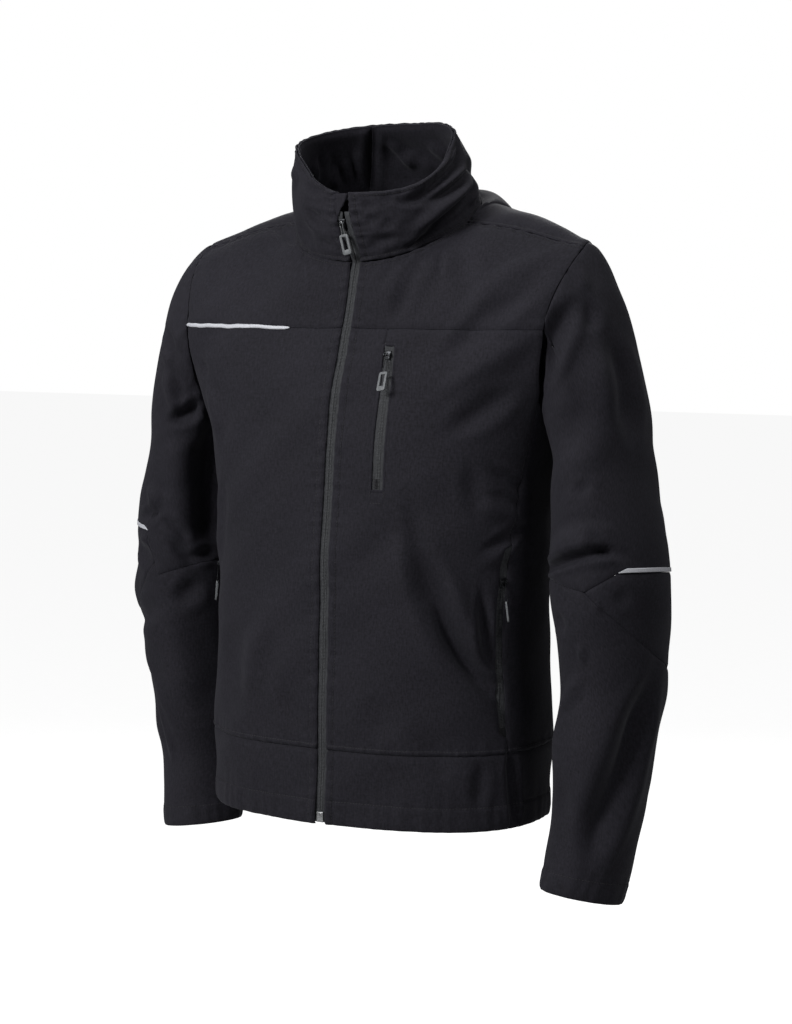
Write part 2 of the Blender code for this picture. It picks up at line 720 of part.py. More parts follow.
def build_waistband():
    front = band_grid(lambda z: angle_at_x(ZIP_HALF_GAP, z), front_edge_angle, BAND_FRONT_COLUMNS)
    front = trim(front, last_row=HALF_GAP, last_column=HALF_GAP)
    for side, mirror in SIDES.items():
        add_wall("waistband_" + side, front * mirror, CLOTH)
    back = band_grid(front_edge_angle, lambda z: 2 * math.pi - front_edge_angle(z), BAND_BACK_COLUMNS)
    back = trim(back, last_row=HALF_GAP, first_column=HALF_GAP, last_column=HALF_GAP)
    add_wall("waistband_back", back, CLOTH)


# Back

BACK_SIDE_COLUMNS = 6
BACK_COLUMNS = 2 * YOKE_COLUMNS          # so that both sides of the shoulder seam match
BACK_LOWER_ROWS = FRONT_LEVELS.index(ARMHOLE_CORNER_Z)
BACK_UPPER_ROWS = 2
BACK_TOP_ROWS = 6


def spread(start, corner, columns_angle):
    """Angles of one row: side, back and side columns, between start and its mirror."""
    side = np.linspace(start, corner, BACK_SIDE_COLUMNS + 1)
    back = np.linspace(corner, columns_angle, BACK_COLUMNS + 1)
    other = 2 * math.pi - side[::-1]
    return np.concatenate([side[:-1], back, other[1:]])


def back_row(z):
    seam = front_edge_angle(min(z, ARMHOLE_CORNER_Z))
    corner = back_edge_angle(max(z, ARMHOLE_CORNER_Z))
    return spread(seam, corner, 2 * math.pi - corner)


def back_grid():
    grid = []
    for level in FRONT_LEVELS[:BACK_LOWER_ROWS + 1]:
        share = (level - WAIST_SEAM_Z) / (ARMHOLE_CORNER_Z - WAIST_SEAM_Z)
        row = []
        for angle in back_row(level):
            turned = angle if angle <= math.pi else 2 * math.pi - angle
            z = WAIST_SEAM_Z + (armpit_z(turned) - WAIST_SEAM_Z) * share
            row.append(torso_point(angle, z))
        grid.append(row)
    for step in range(1, BACK_UPPER_ROWS + 1):
        z = ARMHOLE_CORNER_Z + (YOKE_Z - ARMHOLE_CORNER_Z) * step / BACK_UPPER_ROWS
        grid.append([torso_point(angle, z) for angle in back_row(z)])
    for step in range(1, BACK_TOP_ROWS + 1):
        middle = np.linspace(-1, 1, BACK_COLUMNS + 1)
        row = [back_top_point(share, step / BACK_TOP_ROWS) for share in middle]
        grid.append([row[0]] * BACK_SIDE_COLUMNS + row + [row[-1]] * BACK_SIDE_COLUMNS)
    return np.array(grid)


def in_back(row, column):
    return row < BACK_LOWER_ROWS or BACK_SIDE_COLUMNS <= column < BACK_SIDE_COLUMNS + BACK_COLUMNS


def build_back():
    grid = back_grid()
    grid[0] = trim(grid[:2], first_row=HALF_GAP)[0]
    grid[-1] = trim(grid[-2:], last_row=HALF_GAP)[-1]
    lower = slice(0, BACK_LOWER_ROWS + 1)
    grid[lower] = trim(grid[lower], first_column=HALF_GAP, last_column=HALF_GAP)
    upper = slice(BACK_LOWER_ROWS, None)
    middle = slice(BACK_SIDE_COLUMNS, BACK_SIDE_COLUMNS + BACK_COLUMNS + 1)
    grid[upper, middle] = trim(grid[upper, middle], first_column=HALF_ARMHOLE_GAP,
                               last_column=HALF_ARMHOLE_GAP)
    add_wall("back", grid, CLOTH, keep=in_back)


# Collar

COLLAR_COLUMNS = 36
COLLAR_ROWS = 5
FACING_LIFT = -(WALL + SEAM_GAP)
COLLAR_CORE = Vector((0.0, 0.0, 0.01))


def collar_end(height):
    """Angle of the collar's front edge, which closes in towards the rim."""
    half_gap = ZIP_HALF_GAP + (COLLAR_TOP_HALF_GAP - ZIP_HALF_GAP) * height ** 2
    half_width = NECK_HALF_WIDTH + (RIM_HALF_WIDTH - NECK_HALF_WIDTH) * height
    return math.asin(half_gap / half_width)


def collar_grid(first, last, columns):
    """First and last give the angles of the two ends at a height from 0 to 1."""
    grid = []
    for row in range(COLLAR_ROWS + 1):
        height = row / COLLAR_ROWS
        angles = np.linspace(first(height), last(height), columns + 1)
        grid.append([collar_point(angle, height) for angle in angles])
    return grid


def build_collar():
    outer = collar_grid(collar_end, lambda height: 2 * math.pi - collar_end(height), COLLAR_COLUMNS)
    outer = trim(outer, first_row=COLLAR_SEAM_GAP)
    add_wall("collar", outer, CLOTH, core=COLLAR_CORE)
    seam = FACING_SEAM_ANGLE + 2 * math.pi
    left_columns = round(COLLAR_COLUMNS * seam / (2 * math.pi))
    left = collar_grid(collar_end, lambda height: seam, left_columns)
    right = collar_grid(lambda height: seam, lambda height: 2 * math.pi - collar_end(height),
                        COLLAR_COLUMNS - left_columns)
    left = trim(left, first_row=COLLAR_SEAM_GAP, last_column=HALF_GAP)
    right = trim(right, first_row=COLLAR_SEAM_GAP, first_column=HALF_GAP)
    add_wall("collar_facing_left", left, CLOTH, core=COLLAR_CORE, lift=FACING_LIFT)
    add_wall("collar_facing_right", right, CLOTH, core=COLLAR_CORE, lift=FACING_LIFT)


# Sleeves

SLEEVE_COLUMNS = 28
UPPER_ROWS = 9
ELBOW_ROWS = 3
LOWER_ROWS = 8
ELBOW_TIP_INSET = math.radians(5)        # the insert's solid stops this far short of its tips
CUFF_RING = 6.0
RING_HEIGHT = 0.105                      # mean height of a ring at the elbow
HALF_GAP_RINGS = HALF_GAP / RING_HEIGHT
PIPING_RINGS = ELBOW_PIPING_HEIGHT / RING_HEIGHT


def sleeve_core(side):
    ring = SLEEVE_RINGS[side][1]
    return Vector((ring.x if side == "left" else -ring.x, ring.y, ring.z))


def sleeve_angles():
    """One turn that starts at the inner tip of the elbow insert."""
    return np.linspace(ELBOW_BACK, ELBOW_BACK + 2 * math.pi, SLEEVE_COLUMNS, endpoint=False)


def build_sleeve(side):
    core = sleeve_core(side)
    upper = []
    for row in range(UPPER_ROWS + 1):
        share = row / UPPER_ROWS
        upper.append([sleeve_point(side, angle, (seam_level(side, angle) - HALF_GAP_RINGS) * share)
                      for angle in sleeve_angles()])
    add_wall("sleeve_upper_" + side, upper, CLOTH, core=core, closed=True)
    lower = []
    for row in range(LOWER_ROWS + 1):
        share = row / LOWER_ROWS
        points = []
        for angle in sleeve_angles():
            start = insert_low_level(side, turned_back(angle)) + HALF_GAP_RINGS
            points.append(sleeve_point(side, angle, start + (CUFF_RING - start) * share))
        lower.append(points)
    add_wall("sleeve_lower_" + side, lower, CLOTH, core=core, closed=True)
    elbow = []
    first = ELBOW_BACK + ELBOW_TIP_INSET
    last = ELBOW_FRONT - ELBOW_TIP_INSET
    span = [angle for angle in sleeve_angles() if first < angle < last]
    for row in range(ELBOW_ROWS + 1):
        share = row / ELBOW_ROWS
        points = []
        for angle in span:
            start = seam_level(side, angle) + HALF_GAP_RINGS
            height = insert_low_level(side, angle) - HALF_GAP_RINGS - start
            points.append(sleeve_point(side, angle, start + height * share))
        elbow.append(points)
    add_wall("sleeve_elbow_" + side, elbow, CLOTH, core=core)
    piping = []
    for share in (0.0, 1.0):
        lift = 2 * HALF_GAP_RINGS + PIPING_RINGS * share
        angles = [angle for angle in sleeve_angles() if PIPING_BACK < angle < PIPING_FRONT]
        piping.append([sleeve_point(side, angle, seam_level(side, angle) - lift) for angle in angles])
    add_wall("elbow_piping_" + side, piping, PIPING, core=core, thickness=PIPING_WALL,
             lift=PIPING_WALL + 3 * SEAM_GAP)


# Zips

TAPE_DEPTH = 0.0012                      # gap between the cloth and the tape behind it
BEHIND = -(WALL + TAPE_DEPTH)
MAIN_SLIDER_HEIGHT = 0.55                # share of the collar's height
ZIP_ABOVE_SLIDER = 0.06                  # how far the tapes run on above it
ZIP_BODY_ROWS = 19
ZIP_NECK_ROWS = 5
Place = namedtuple("Place", "point across up out")


def zip_profile():
    """Centre line of the main zip on the outer surface, from the hem to the slider."""
    line = [torso_point(0.0, z) for z in np.linspace(HEM_Z + ZIP_HEM_OFFSET, YOKE_Z, ZIP_BODY_ROWS)]
    yoke = [yoke_point(0.0, u) for u in np.linspace(0, 1, ZIP_NECK_ROWS)[1:]]
    top = MAIN_SLIDER_HEIGHT + ZIP_ABOVE_SLIDER
    collar = [collar_point(0.0, u) for u in np.linspace(0, top, ZIP_NECK_ROWS)[1:]]
    line += [np.array([0.0, point[1], point[2]]) for point in yoke + collar]
    return np.array(line)


def build_main_zip():
    tape = []
    for point in zip_profile():
        width = ZIP_TAPE_WIDTH if point[2] < ZIP_NECK_Z else ZIP_NECK_TAPE_WIDTH
        tape.append([point + np.array([x, 0.0, 0.0]) for x in np.linspace(HALF_GAP, width, 3)])
    for side, mirror in SIDES.items():
        add_wall("zip_tape_" + side, np.array(tape) * mirror, TAPE, thickness=TAPE_WALL, lift=BEHIND)


def strip_grid(angles_at, levels):
    return [[torso_point(angle, z) for angle in angles_at(z)] for z in levels]


def build_pocket_zips():
    def chest_angles(z):
        half = CHEST_SLOT_HALF + POCKET_TAPE_MARGIN
        return [angle_at_x(CHEST_SLOT_X + x, z) for x in (-half, 0.0, half)]

    chest_levels = np.linspace(CHEST_SLOT_BOTTOM_Z - CHEST_TAPE_END, CHEST_SLOT_TOP_Z + CHEST_TAPE_END, 7)
    add_wall("chest_zip_tape", strip_grid(chest_angles, chest_levels), TAPE,
             thickness=TAPE_WALL, lift=BEHIND)

    def pocket_angles(z):
        edge = front_edge_angle(z)
        shifts = (-POCKET_OPEN - POCKET_TAPE_MARGIN, -POCKET_OPEN / 2, POCKET_TAPE_MARGIN)
        return [edge + turn_for(edge, z, shift) for shift in shifts]

    pocket_levels = np.linspace(POCKET_BOTTOM_Z - POCKET_TAPE_END, POCKET_TOP_Z + POCKET_TAPE_END, 9)
    pocket = np.array(strip_grid(pocket_angles, pocket_levels))
    for side, mirror in SIDES.items():
        add_wall("pocket_zip_tape_" + side, pocket * mirror, TAPE, thickness=TAPE_WALL, lift=BEHIND)


SLIDER_HALF_WIDTH = 0.0040
SLIDER_LENGTH = 0.0095
SLIDER_BASE = 0.0026
EAR_THICKNESS = 0.0010
EAR_HEIGHT = 0.0030
PULL_THICKNESS = 0.0018
PULL_LINK_HALF = 0.0022
MAIN_LINK_LENGTH = 0.0115
POCKET_LINK_LENGTH = 0.0200
PULL_HALF_WIDTH = 0.0054
PULL_TAB_LENGTH = 0.0225
PULL_WINDOW_HALF = 0.0028
PULL_WINDOW_TOP = 0.0040
PULL_WINDOW_BOTTOM = 0.0060
PULL_EYE = 0.0012            # how far the pull reaches past its axis
AXIS_HEIGHT = 0.0016         # hinge axis above the slider's base


def place_matrix(place, height):
    """Local x across the zip, y up along it, z out of the cloth."""
    origin = place.point + place.out * height
    rotation = np.column_stack([place.across, place.up, place.out])
    return Matrix.Translation(Vector(origin)) @ Matrix(rotation.tolist()).to_4x4()


def add_slider(name, place):
    """A channel section: a base on the tape and an ear on each side of the pull."""
    half = SLIDER_HALF_WIDTH
    ear = half - EAR_THICKNESS
    top = SLIDER_BASE + EAR_HEIGHT
    profile = [(-half, 0), (half, 0), (half, top), (ear, top),
               (ear, SLIDER_BASE), (-ear, SLIDER_BASE), (-ear, top), (-half, top)]
    count = len(profile)
    vertices = [(x, y, z) for y in (SLIDER_LENGTH / 2, -SLIDER_LENGTH / 2) for x, z in profile]
    faces = [[i, (i + 1) % count, count + (i + 1) % count, count + i] for i in range(count)]
    caps = ([0, 5, 4, 1], [1, 4, 3, 2], [0, 7, 6, 5])
    faces += [list(cap) for cap in caps]
    faces += [[count + i for i in reversed(cap)] for cap in caps]
    piece = add_mesh(name, vertices, faces, SLIDER)
    piece.matrix_world = place_matrix(place, BEHIND + SEAM_GAP)
    return piece


def add_pull(name, place, link_length):
    """A link and a tab with a window, hung from the axis between the slider's ears."""
    xs = [-PULL_HALF_WIDTH, -PULL_WINDOW_HALF, -PULL_LINK_HALF,
          PULL_LINK_HALF, PULL_WINDOW_HALF, PULL_HALF_WIDTH]
    tab_top = -link_length
    tab_bottom = tab_top - PULL_TAB_LENGTH
    ys = [tab_bottom, tab_bottom + PULL_WINDOW_BOTTOM, tab_top - PULL_WINDOW_TOP, tab_top, PULL_EYE]
    grid = np.array([[(x, y, PULL_THICKNESS / 2) for x in xs] for y in ys])
    link_column = 2
    tab_rows = 3
    window_row = 1

    def keep(row, column):
        if row >= tab_rows:
            return column == link_column
        return row != window_row or column in (0, len(xs) - 2)

    normals, forwards = grid_normals(grid, keep, False, (0.0, 0.0, -1.0))
    keys, faces = shell_faces(grid.shape[:2], keep, False, forwards)
    layers = (grid, grid - normals * PULL_THICKNESS)
    piece = add_mesh(name, [layers[layer][corner] for corner, layer in keys], faces, PULL)
    piece.matrix_world = place_matrix(place, BEHIND + SEAM_GAP + SLIDER_BASE + AXIS_HEIGHT)
    return piece


def place_between(low, high, left, right):
    """A place on the cloth from four points round it."""
    up = unit(high - low)
    across = right - left
    across = unit(across - up * across.dot(up))
    out = np.cross(across, up)
    return Place((low + high + left + right) / 4, across, up, out)


def torso_place(angle, z, step=0.012):
    """A place whose up direction lies in a plane of constant x, as a hanging pull does."""
    turn = turn_for(angle, z, step)
    left = torso_point(angle - turn, z)
    right = torso_point(angle + turn, z)
    low = torso_point(angle, z - step)
    high = torso_point(angle, z + step)
    across = unit(right - left)
    up = high - low
    up = unit(up - across * up.dot(across))
    upright = unit(np.array([0.0, 0.0, 1.0]) - across * across[2])
    out = unit(np.cross(across, up))
    up = unit(upright - out * upright.dot(out))
    return Place(torso_point(angle, z), np.cross(up, out), up, out)


CHEST_SLIDER_DROP = 0.009    # sliders below the tops of their openings
POCKET_SLIDER_DROP = 0.038
CHEST_SLIDER_Z = CHEST_SLOT_TOP_Z - CHEST_SLIDER_DROP
POCKET_SLIDER_Z = POCKET_TOP_Z - POCKET_SLIDER_DROP
SLIDER_REACH = 0.1           # share of the collar's height above and below the main slider
SLIDER_SIDE = 0.01


def build_sliders():
    low = collar_point(0.0, MAIN_SLIDER_HEIGHT - SLIDER_REACH)
    high = collar_point(0.0, MAIN_SLIDER_HEIGHT + SLIDER_REACH)
    side_step = np.array([SLIDER_SIDE, 0.0, 0.0])
    middle = (low + high) / 2
    places = {("zip", ""): place_between(low, high, middle - side_step, middle + side_step)}
    places["chest_zip", ""] = torso_place(angle_at_x(CHEST_SLOT_X, CHEST_SLIDER_Z), CHEST_SLIDER_Z)
    angle = front_edge_angle(POCKET_SLIDER_Z)
    angle -= turn_for(angle, POCKET_SLIDER_Z, POCKET_OPEN / 2)
    places["pocket_zip", "_left"] = torso_place(angle, POCKET_SLIDER_Z)
    places["pocket_zip", "_right"] = torso_place(-angle, POCKET_SLIDER_Z)
    for (stem, side), place in places.items():
        add_slider(stem + "_slider" + side, place)
        link_length = MAIN_LINK_LENGTH if stem == "zip" else POCKET_LINK_LENGTH
        add_pull(stem + "_pull" + side, place, link_length)


def add_block(name, low, high, finish):
    """A box between two corners."""
    vertices = [(x, y, z) for z in (low[2], high[2]) for y in (low[1], high[1]) for x in (low[0], high[0])]
    faces = [[0, 2, 3, 1], [4, 5, 7, 6], [0, 1, 5, 4], [2, 6, 7, 3], [0, 4, 6, 2], [1, 3, 7, 5]]
    return add_mesh(name, vertices, faces, finish)


ZIP_END_HALF = 0.0042
ZIP_END_DEPTH = 0.0018
PIPING_MIDDLE = 0.6          # where across the yoke its height is taken for the piping


def build_trim():
    face = torso_point(0.0, HEM_Z + ZIP_END_HEIGHT / 2)[1] - BEHIND - SEAM_GAP
    low = HEM_Z + ZIP_HEM_OFFSET
    add_block("zip_end", (-ZIP_END_HALF, face - ZIP_END_DEPTH, low),
              (ZIP_END_HALF, face, low + ZIP_END_HEIGHT), SLIDER)
    yoke_height = np.linalg.norm(yoke_point(PIPING_MIDDLE, 1.0) - yoke_point(PIPING_MIDDLE, 0.0))
    shares = np.linspace(CHEST_PIPING_START, CHEST_PIPING_END, 12)
    low_z = YOKE_Z - CHEST_PIPING_HEIGHT / 2
    start = angle_at_x(ZIP_HALF_GAP, low_z)
    end = front_edge_angle(low_z)
    rise = CHEST_PIPING_HEIGHT / 2 / yoke_height
    rows = [[torso_point(start + (end - start) * share, low_z) * MIRROR for share in shares]]
    rows += [[yoke_point(share, up) * MIRROR for share in shares] for up in (0.0, rise)]
    add_wall("chest_piping", rows, PIPING, thickness=PIPING_WALL, lift=PIPING_WALL + SEAM_GAP)


GARAGE_HALF_WIDTH = 0.0085
GARAGE_LOW = 0.66
GARAGE_HIGH = 0.97
GARAGE_TIP_HALF = 0.0012
GARAGE_CURVE = 2.5           # how fast the flap curves back to each side, per metre


def build_garage():
    """A small triangular flap on the collar that covers the top of the front zip."""
    rows = []
    for share in np.linspace(0, 1, 4):
        half = GARAGE_HALF_WIDTH + (GARAGE_TIP_HALF - GARAGE_HALF_WIDTH) * share
        height = GARAGE_LOW + (GARAGE_HIGH - GARAGE_LOW) * share
        centre = collar_point(0.0, height)
        rows.append([centre + np.array([x, GARAGE_CURVE * x * x, 0.0]) for x in np.linspace(-half, half, 5)])
    add_wall("zip_garage", rows, CLOTH, core=COLLAR_CORE, thickness=WALL / 2, lift=WALL / 2 + SEAM_GAP)


build_fronts()
build_waistband()
build_back()
build_collar()
for sleeve_side in SIDES:
    build_sleeve(sleeve_side)
build_main_zip()
build_pocket_zips()
build_sliders()
build_trim()
build_garage()
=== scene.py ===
import math

import bpy
import numpy as np
from mathutils import Matrix, Vector


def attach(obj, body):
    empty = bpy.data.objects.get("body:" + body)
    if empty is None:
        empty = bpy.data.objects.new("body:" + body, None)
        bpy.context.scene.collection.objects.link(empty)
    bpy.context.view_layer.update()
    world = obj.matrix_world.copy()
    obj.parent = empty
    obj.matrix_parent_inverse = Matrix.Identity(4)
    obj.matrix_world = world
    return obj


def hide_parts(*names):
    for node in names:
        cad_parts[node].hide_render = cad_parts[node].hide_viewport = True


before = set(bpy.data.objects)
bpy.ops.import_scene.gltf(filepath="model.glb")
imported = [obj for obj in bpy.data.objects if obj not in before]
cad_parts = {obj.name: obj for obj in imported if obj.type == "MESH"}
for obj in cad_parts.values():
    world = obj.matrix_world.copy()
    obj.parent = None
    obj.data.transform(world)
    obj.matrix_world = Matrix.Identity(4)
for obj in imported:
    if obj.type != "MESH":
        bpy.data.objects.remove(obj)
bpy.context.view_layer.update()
print("frame loaded:", len(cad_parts), "nodes")

# Metres. The front faces -Y, +X is the wearer's left, the origin is inside the neck.
view = {"azimuth": math.radians(30), "elevation": math.radians(5.5), "distance": 2.8, "shift": 0.0153,
        "height": -0.33, "lens": 60.77, "sensor": 24}
sides = {"left": np.array([1.0, 1.0, 1.0]), "right": np.array([-1.0, 1.0, 1.0])}
cloth = {"wall": 0.0016, "seamGap": 0.0003, "armholeGap": 0.0013}
halfSeam = cloth["seamGap"] / 2
heights = {"hem": -0.648, "waist": -0.569, "yoke": -0.130, "armpit": -0.205, "armpitDip": 0.030}
torso = {
    "z": [-0.648, -0.569, -0.4945, -0.410, -0.331, -0.235, -0.178, -0.130],
    "halfWidth": [0.1900, 0.1915, 0.1885, 0.1865, 0.1900, 0.2060, 0.2357, 0.2575],
    "backHalfWidth": [0.1900, 0.1915, 0.1885, 0.1865, 0.1900, 0.2060, 0.2350, 0.2425],
    "front": [-0.1280, -0.1265, -0.1245, -0.1210, -0.1160, -0.1055, -0.0940, -0.0810],
    "back": [0.124, 0.126, 0.125, 0.124, 0.128, 0.139, 0.145, 0.147],
    "squareness": [2.4, 2.4, 2.4, 2.4, 2.4, 2.6, 2.8, 3.0],
    "sideBlend": 0.5,
}
frontEdge = {  # side seam, then the front of the armhole
    "z": [-0.648, -0.410, -0.340, -0.260, -0.205, -0.178, -0.130],
    "y": [-0.050, -0.050, -0.042, -0.032, -0.037, -0.046, -0.050],
}
backEdge = {"z": [-0.205, -0.178, -0.130], "y": [0.083, 0.095, 0.098]}
neck = {"halfWidth": 0.103, "halfDepth": 0.085, "centreY": 0.015, "frontZ": -0.061, "backZ": 0.018,
        "rise": 1.3, "shoulderAngle": math.radians(82)}
rim = {"halfWidth": 0.0890, "halfDepth": 0.066, "centreY": -0.016, "frontZ": 0.011, "backZ": 0.089,
       "corner": 0.5, "cornerPower": 8, "bulge": 0.006}
shoulder = {"tip": (0.2335, 0.011, -0.046), "arch": 0.004, "neckShare": 0.42,
            "yokeLow": (0.0, 0.25, 1.0), "yokeNeck": (0.0, 0.40, 0.90), "yokeTip": (0.0, 0.90, 0.45),
            "backLow": (0.0, -0.12, 1.0), "neckSlope": -0.20, "tipSlope": -0.85,
            "neckLean": 1.2, "ridgeLean": 1.85, "tipLean": 1.1, "ridgePower": 1.5}
zipper = {"halfGap": 0.0055, "sliderHeight": 0.55, "aboveSlider": 0.17, "tapeWidth": 0.014,
          "neckTapeWidth": 0.0054, "neckZ": -0.095, "neckBlend": 0.02, "hemOffset": 0.002,
          "step": 0.004, "teethBelow": 0.004}
chestSlot = {"x": 0.0585, "half": 0.0058, "top": -0.148, "bottom": -0.295, "sliderDrop": 0.009}
handPocket = {"top": -0.352, "bottom": -0.552, "open": 0.009, "margin": 0.0035, "sliderDrop": 0.038,
              "ramp": 0.007, "rampPower": 0.6}


def mix(start, end, share):
    return start + (end - start) * share


def ease(share):  # from 0 to 1, slow at both ends
    return share * share * (3 - 2 * share)


def hermite(u, start, startSlope, end, endSlope):
    a = 2 * u ** 3 - 3 * u ** 2 + 1
    b = u ** 3 - 2 * u ** 2 + u
    c = -2 * u ** 3 + 3 * u ** 2
    d = u ** 3 - u ** 2
    return a * start + b * startSlope + c * end + d * endSlope


def smoothThrough(x, xs, ys):  # a smooth curve through points, read at x
    xs = np.asarray(xs, float)
    ys = np.asarray(ys, float)
    x = np.clip(x, xs[0], xs[-1])
    slopes = np.gradient(ys, xs)
    index = np.clip(np.searchsorted(xs, x) - 1, 0, len(xs) - 2)
    span = xs[index + 1] - xs[index]
    u = (x - xs[index]) / span
    return hermite(u, ys[index], slopes[index] * span, ys[index + 1], slopes[index + 1] * span)


def signedPower(value, power):
    return np.copysign(np.abs(value) ** power, value)


def unit(vector):
    vector = np.asarray(vector, float)
    return vector / np.linalg.norm(vector)


def runLength(line):
    return np.concatenate([[0.0], np.cumsum(np.linalg.norm(np.diff(line, axis=0), axis=1))])


def readLine(place, run, line):  # the point of a line at a distance along it
    return np.array([np.interp(place, run, line[:, axis]) for axis in range(3)])


def torsoAt(key, z):
    return smoothThrough(z, torso["z"], torso[key])


def torsoSize(z):
    front = torsoAt("front", z)
    back = torsoAt("back", z)
    return (front + back) / 2, (back - front) / 2, torsoAt("squareness", z)


def torsoPoint(angle, z):  # angle from the centre front towards the wearer's left
    angle, z = np.broadcast_arrays(np.asarray(angle, float), np.asarray(z, float))
    middle, halfDepth, power = torsoSize(z)
    share = np.clip((1 - np.cos(angle) / torso["sideBlend"]) / 2, 0.0, 1.0)
    width = mix(torsoAt("halfWidth", z), torsoAt("backHalfWidth", z), share)
    x = width * signedPower(np.sin(angle), 2 / power)
    y = middle - halfDepth * signedPower(np.cos(angle), 2 / power)
    return np.stack([x, y, z], axis=-1)


def angleAtY(y, z):
    middle, halfDepth, power = torsoSize(z)
    return np.arccos(signedPower((middle - y) / halfDepth, power / 2))


def angleAtX(x, z):
    return np.arcsin((np.abs(x) / torsoAt("halfWidth", z)) ** (torsoSize(z)[-1] / 2)) * np.sign(x)


def frontEdgeAngle(z):
    return angleAtY(smoothThrough(z, frontEdge["z"], frontEdge["y"]), z)


def backEdgeAngle(z):
    return angleAtY(smoothThrough(z, backEdge["z"], backEdge["y"]), z)


def turnFor(angle, z, distance):  # change of angle that moves a point round the body by a distance
    step = 0.01
    return distance * 2 * step / np.linalg.norm(torsoPoint(angle + step, z) - torsoPoint(angle - step, z))


def torsoPlace(angle, z, step=0.012):  # point, across, up and out
    turn = turnFor(angle, z, step)
    across = unit(torsoPoint(angle + turn, z) - torsoPoint(angle - turn, z))
    up = torsoPoint(angle, z + step) - torsoPoint(angle, z - step)
    out = unit(np.cross(across, unit(up - across * up.dot(across))))
    up = unit(np.array([0.0, 0.0, 1.0]) - out * out[2])
    return torsoPoint(angle, z), np.cross(up, out), up, out


def ovalPoint(oval, angle, low):  # low is 1 at the oval's front height, 0 at its back height
    x = oval["halfWidth"] * np.sin(angle)
    y = oval["centreY"] - oval["halfDepth"] * np.cos(angle)
    return np.stack([x, y, mix(oval["backZ"], oval["frontZ"], low)], axis=-1)


def neckPoint(angle):
    return ovalPoint(neck, angle, ((1 + np.cos(angle)) / 2) ** neck["rise"])


def rimPoint(angle):  # the wearer's right end of the rim has a corner
    near = (1 + np.cos(angle)) / 2
    right = rim["corner"] * near ** rim["cornerPower"] + (1 - rim["corner"]) * near
    return ovalPoint(rim, angle, np.where(np.sin(angle) < 0, right, ease(near)))


def collarPoint(angle, height):  # height from 0 at the neck seam to 1 at the rim
    angle, height = np.broadcast_arrays(np.asarray(angle, float), np.asarray(height, float))
    out = np.stack([np.sin(angle), -np.cos(angle), np.zeros_like(angle)], axis=-1)
    swell = rim["bulge"] * np.sin(math.pi * height)
    return mix(neckPoint(angle), rimPoint(angle), height[..., None]) + out * swell[..., None]


def shoulderPoint(share):  # forward shoulder seam, neck 0 to tip 1
    arch = np.array([0.0, 0.0, shoulder["arch"]]) * math.sin(math.pi * share)
    return mix(neckPoint(neck["shoulderAngle"]), np.array(shoulder["tip"]), share) + arch


def yokeColumn(across, up):  # across from zip 0 to armhole 1, up from the yoke seam to the top edge
    zipAngle = angleAtX(zipper["halfGap"], heights["yoke"])
    low = torsoPoint(mix(zipAngle, frontEdgeAngle(heights["yoke"]), across), heights["yoke"])
    tipWay = np.array(shoulder["yokeTip"])
    if across <= shoulder["neckShare"]:
        share = across / shoulder["neckShare"]
        start = math.asin(zipper["halfGap"] / neck["halfWidth"])
        high = neckPoint(mix(start, neck["shoulderAngle"], share))
        topWay = unit(mix(np.array(shoulder["yokeNeck"]), tipWay, share))
    else:
        high = shoulderPoint((across - shoulder["neckShare"]) / (1 - shoulder["neckShare"]))
        topWay = unit(tipWay)
    reach = np.linalg.norm(high - low)
    up = np.asarray(up, float)[:, None]
    return hermite(up, low, unit(shoulder["yokeLow"]) * reach, high, topWay * reach)


def backTopColumn(across, up):  # across from the left shoulder tip -1 to the right one 1
    share = abs(across)
    low = torsoPoint(mix(math.pi, backEdgeAngle(heights["yoke"]), share), heights["yoke"])
    forward = np.array([0.0, -1.0, 0.0])
    if share <= shoulder["neckShare"]:
        turn = share / shoulder["neckShare"]
        over = turn ** shoulder["ridgePower"]
        high = neckPoint(mix(math.pi, neck["shoulderAngle"], turn))
        levelWay = unit((high - low) * np.array([1.0, 1.0, 0.0]))
        lean = mix(shoulder["neckLean"], shoulder["ridgeLean"], over)
    else:
        over = 1.0
        seamShare = (share - shoulder["neckShare"]) / (1 - shoulder["neckShare"])
        high = shoulderPoint(seamShare)
        levelWay = forward
        lean = mix(shoulder["ridgeLean"], shoulder["tipLean"], seamShare)
    slope = mix(shoulder["neckSlope"], shoulder["tipSlope"], over)
    topWay = unit(unit(mix(levelWay, forward, over)) + np.array([0.0, 0.0, slope]))
    reach = np.linalg.norm(high - low)
    up = np.asarray(up, float)[:, None]
    points = hermite(up, low, unit(shoulder["backLow"]) * reach, high, topWay * reach * lean)
    return points * sides["right" if across > 0 else "left"]


def armpitZ(angle):  # lower edge of the armhole
    start = frontEdgeAngle(heights["armpit"])
    end = backEdgeAngle(heights["armpit"])
    share = np.clip((np.abs(angle) - start) / (end - start), 0.0, 1.0)
    return heights["armpit"] - heights["armpitDip"] * np.sin(math.pi * share)


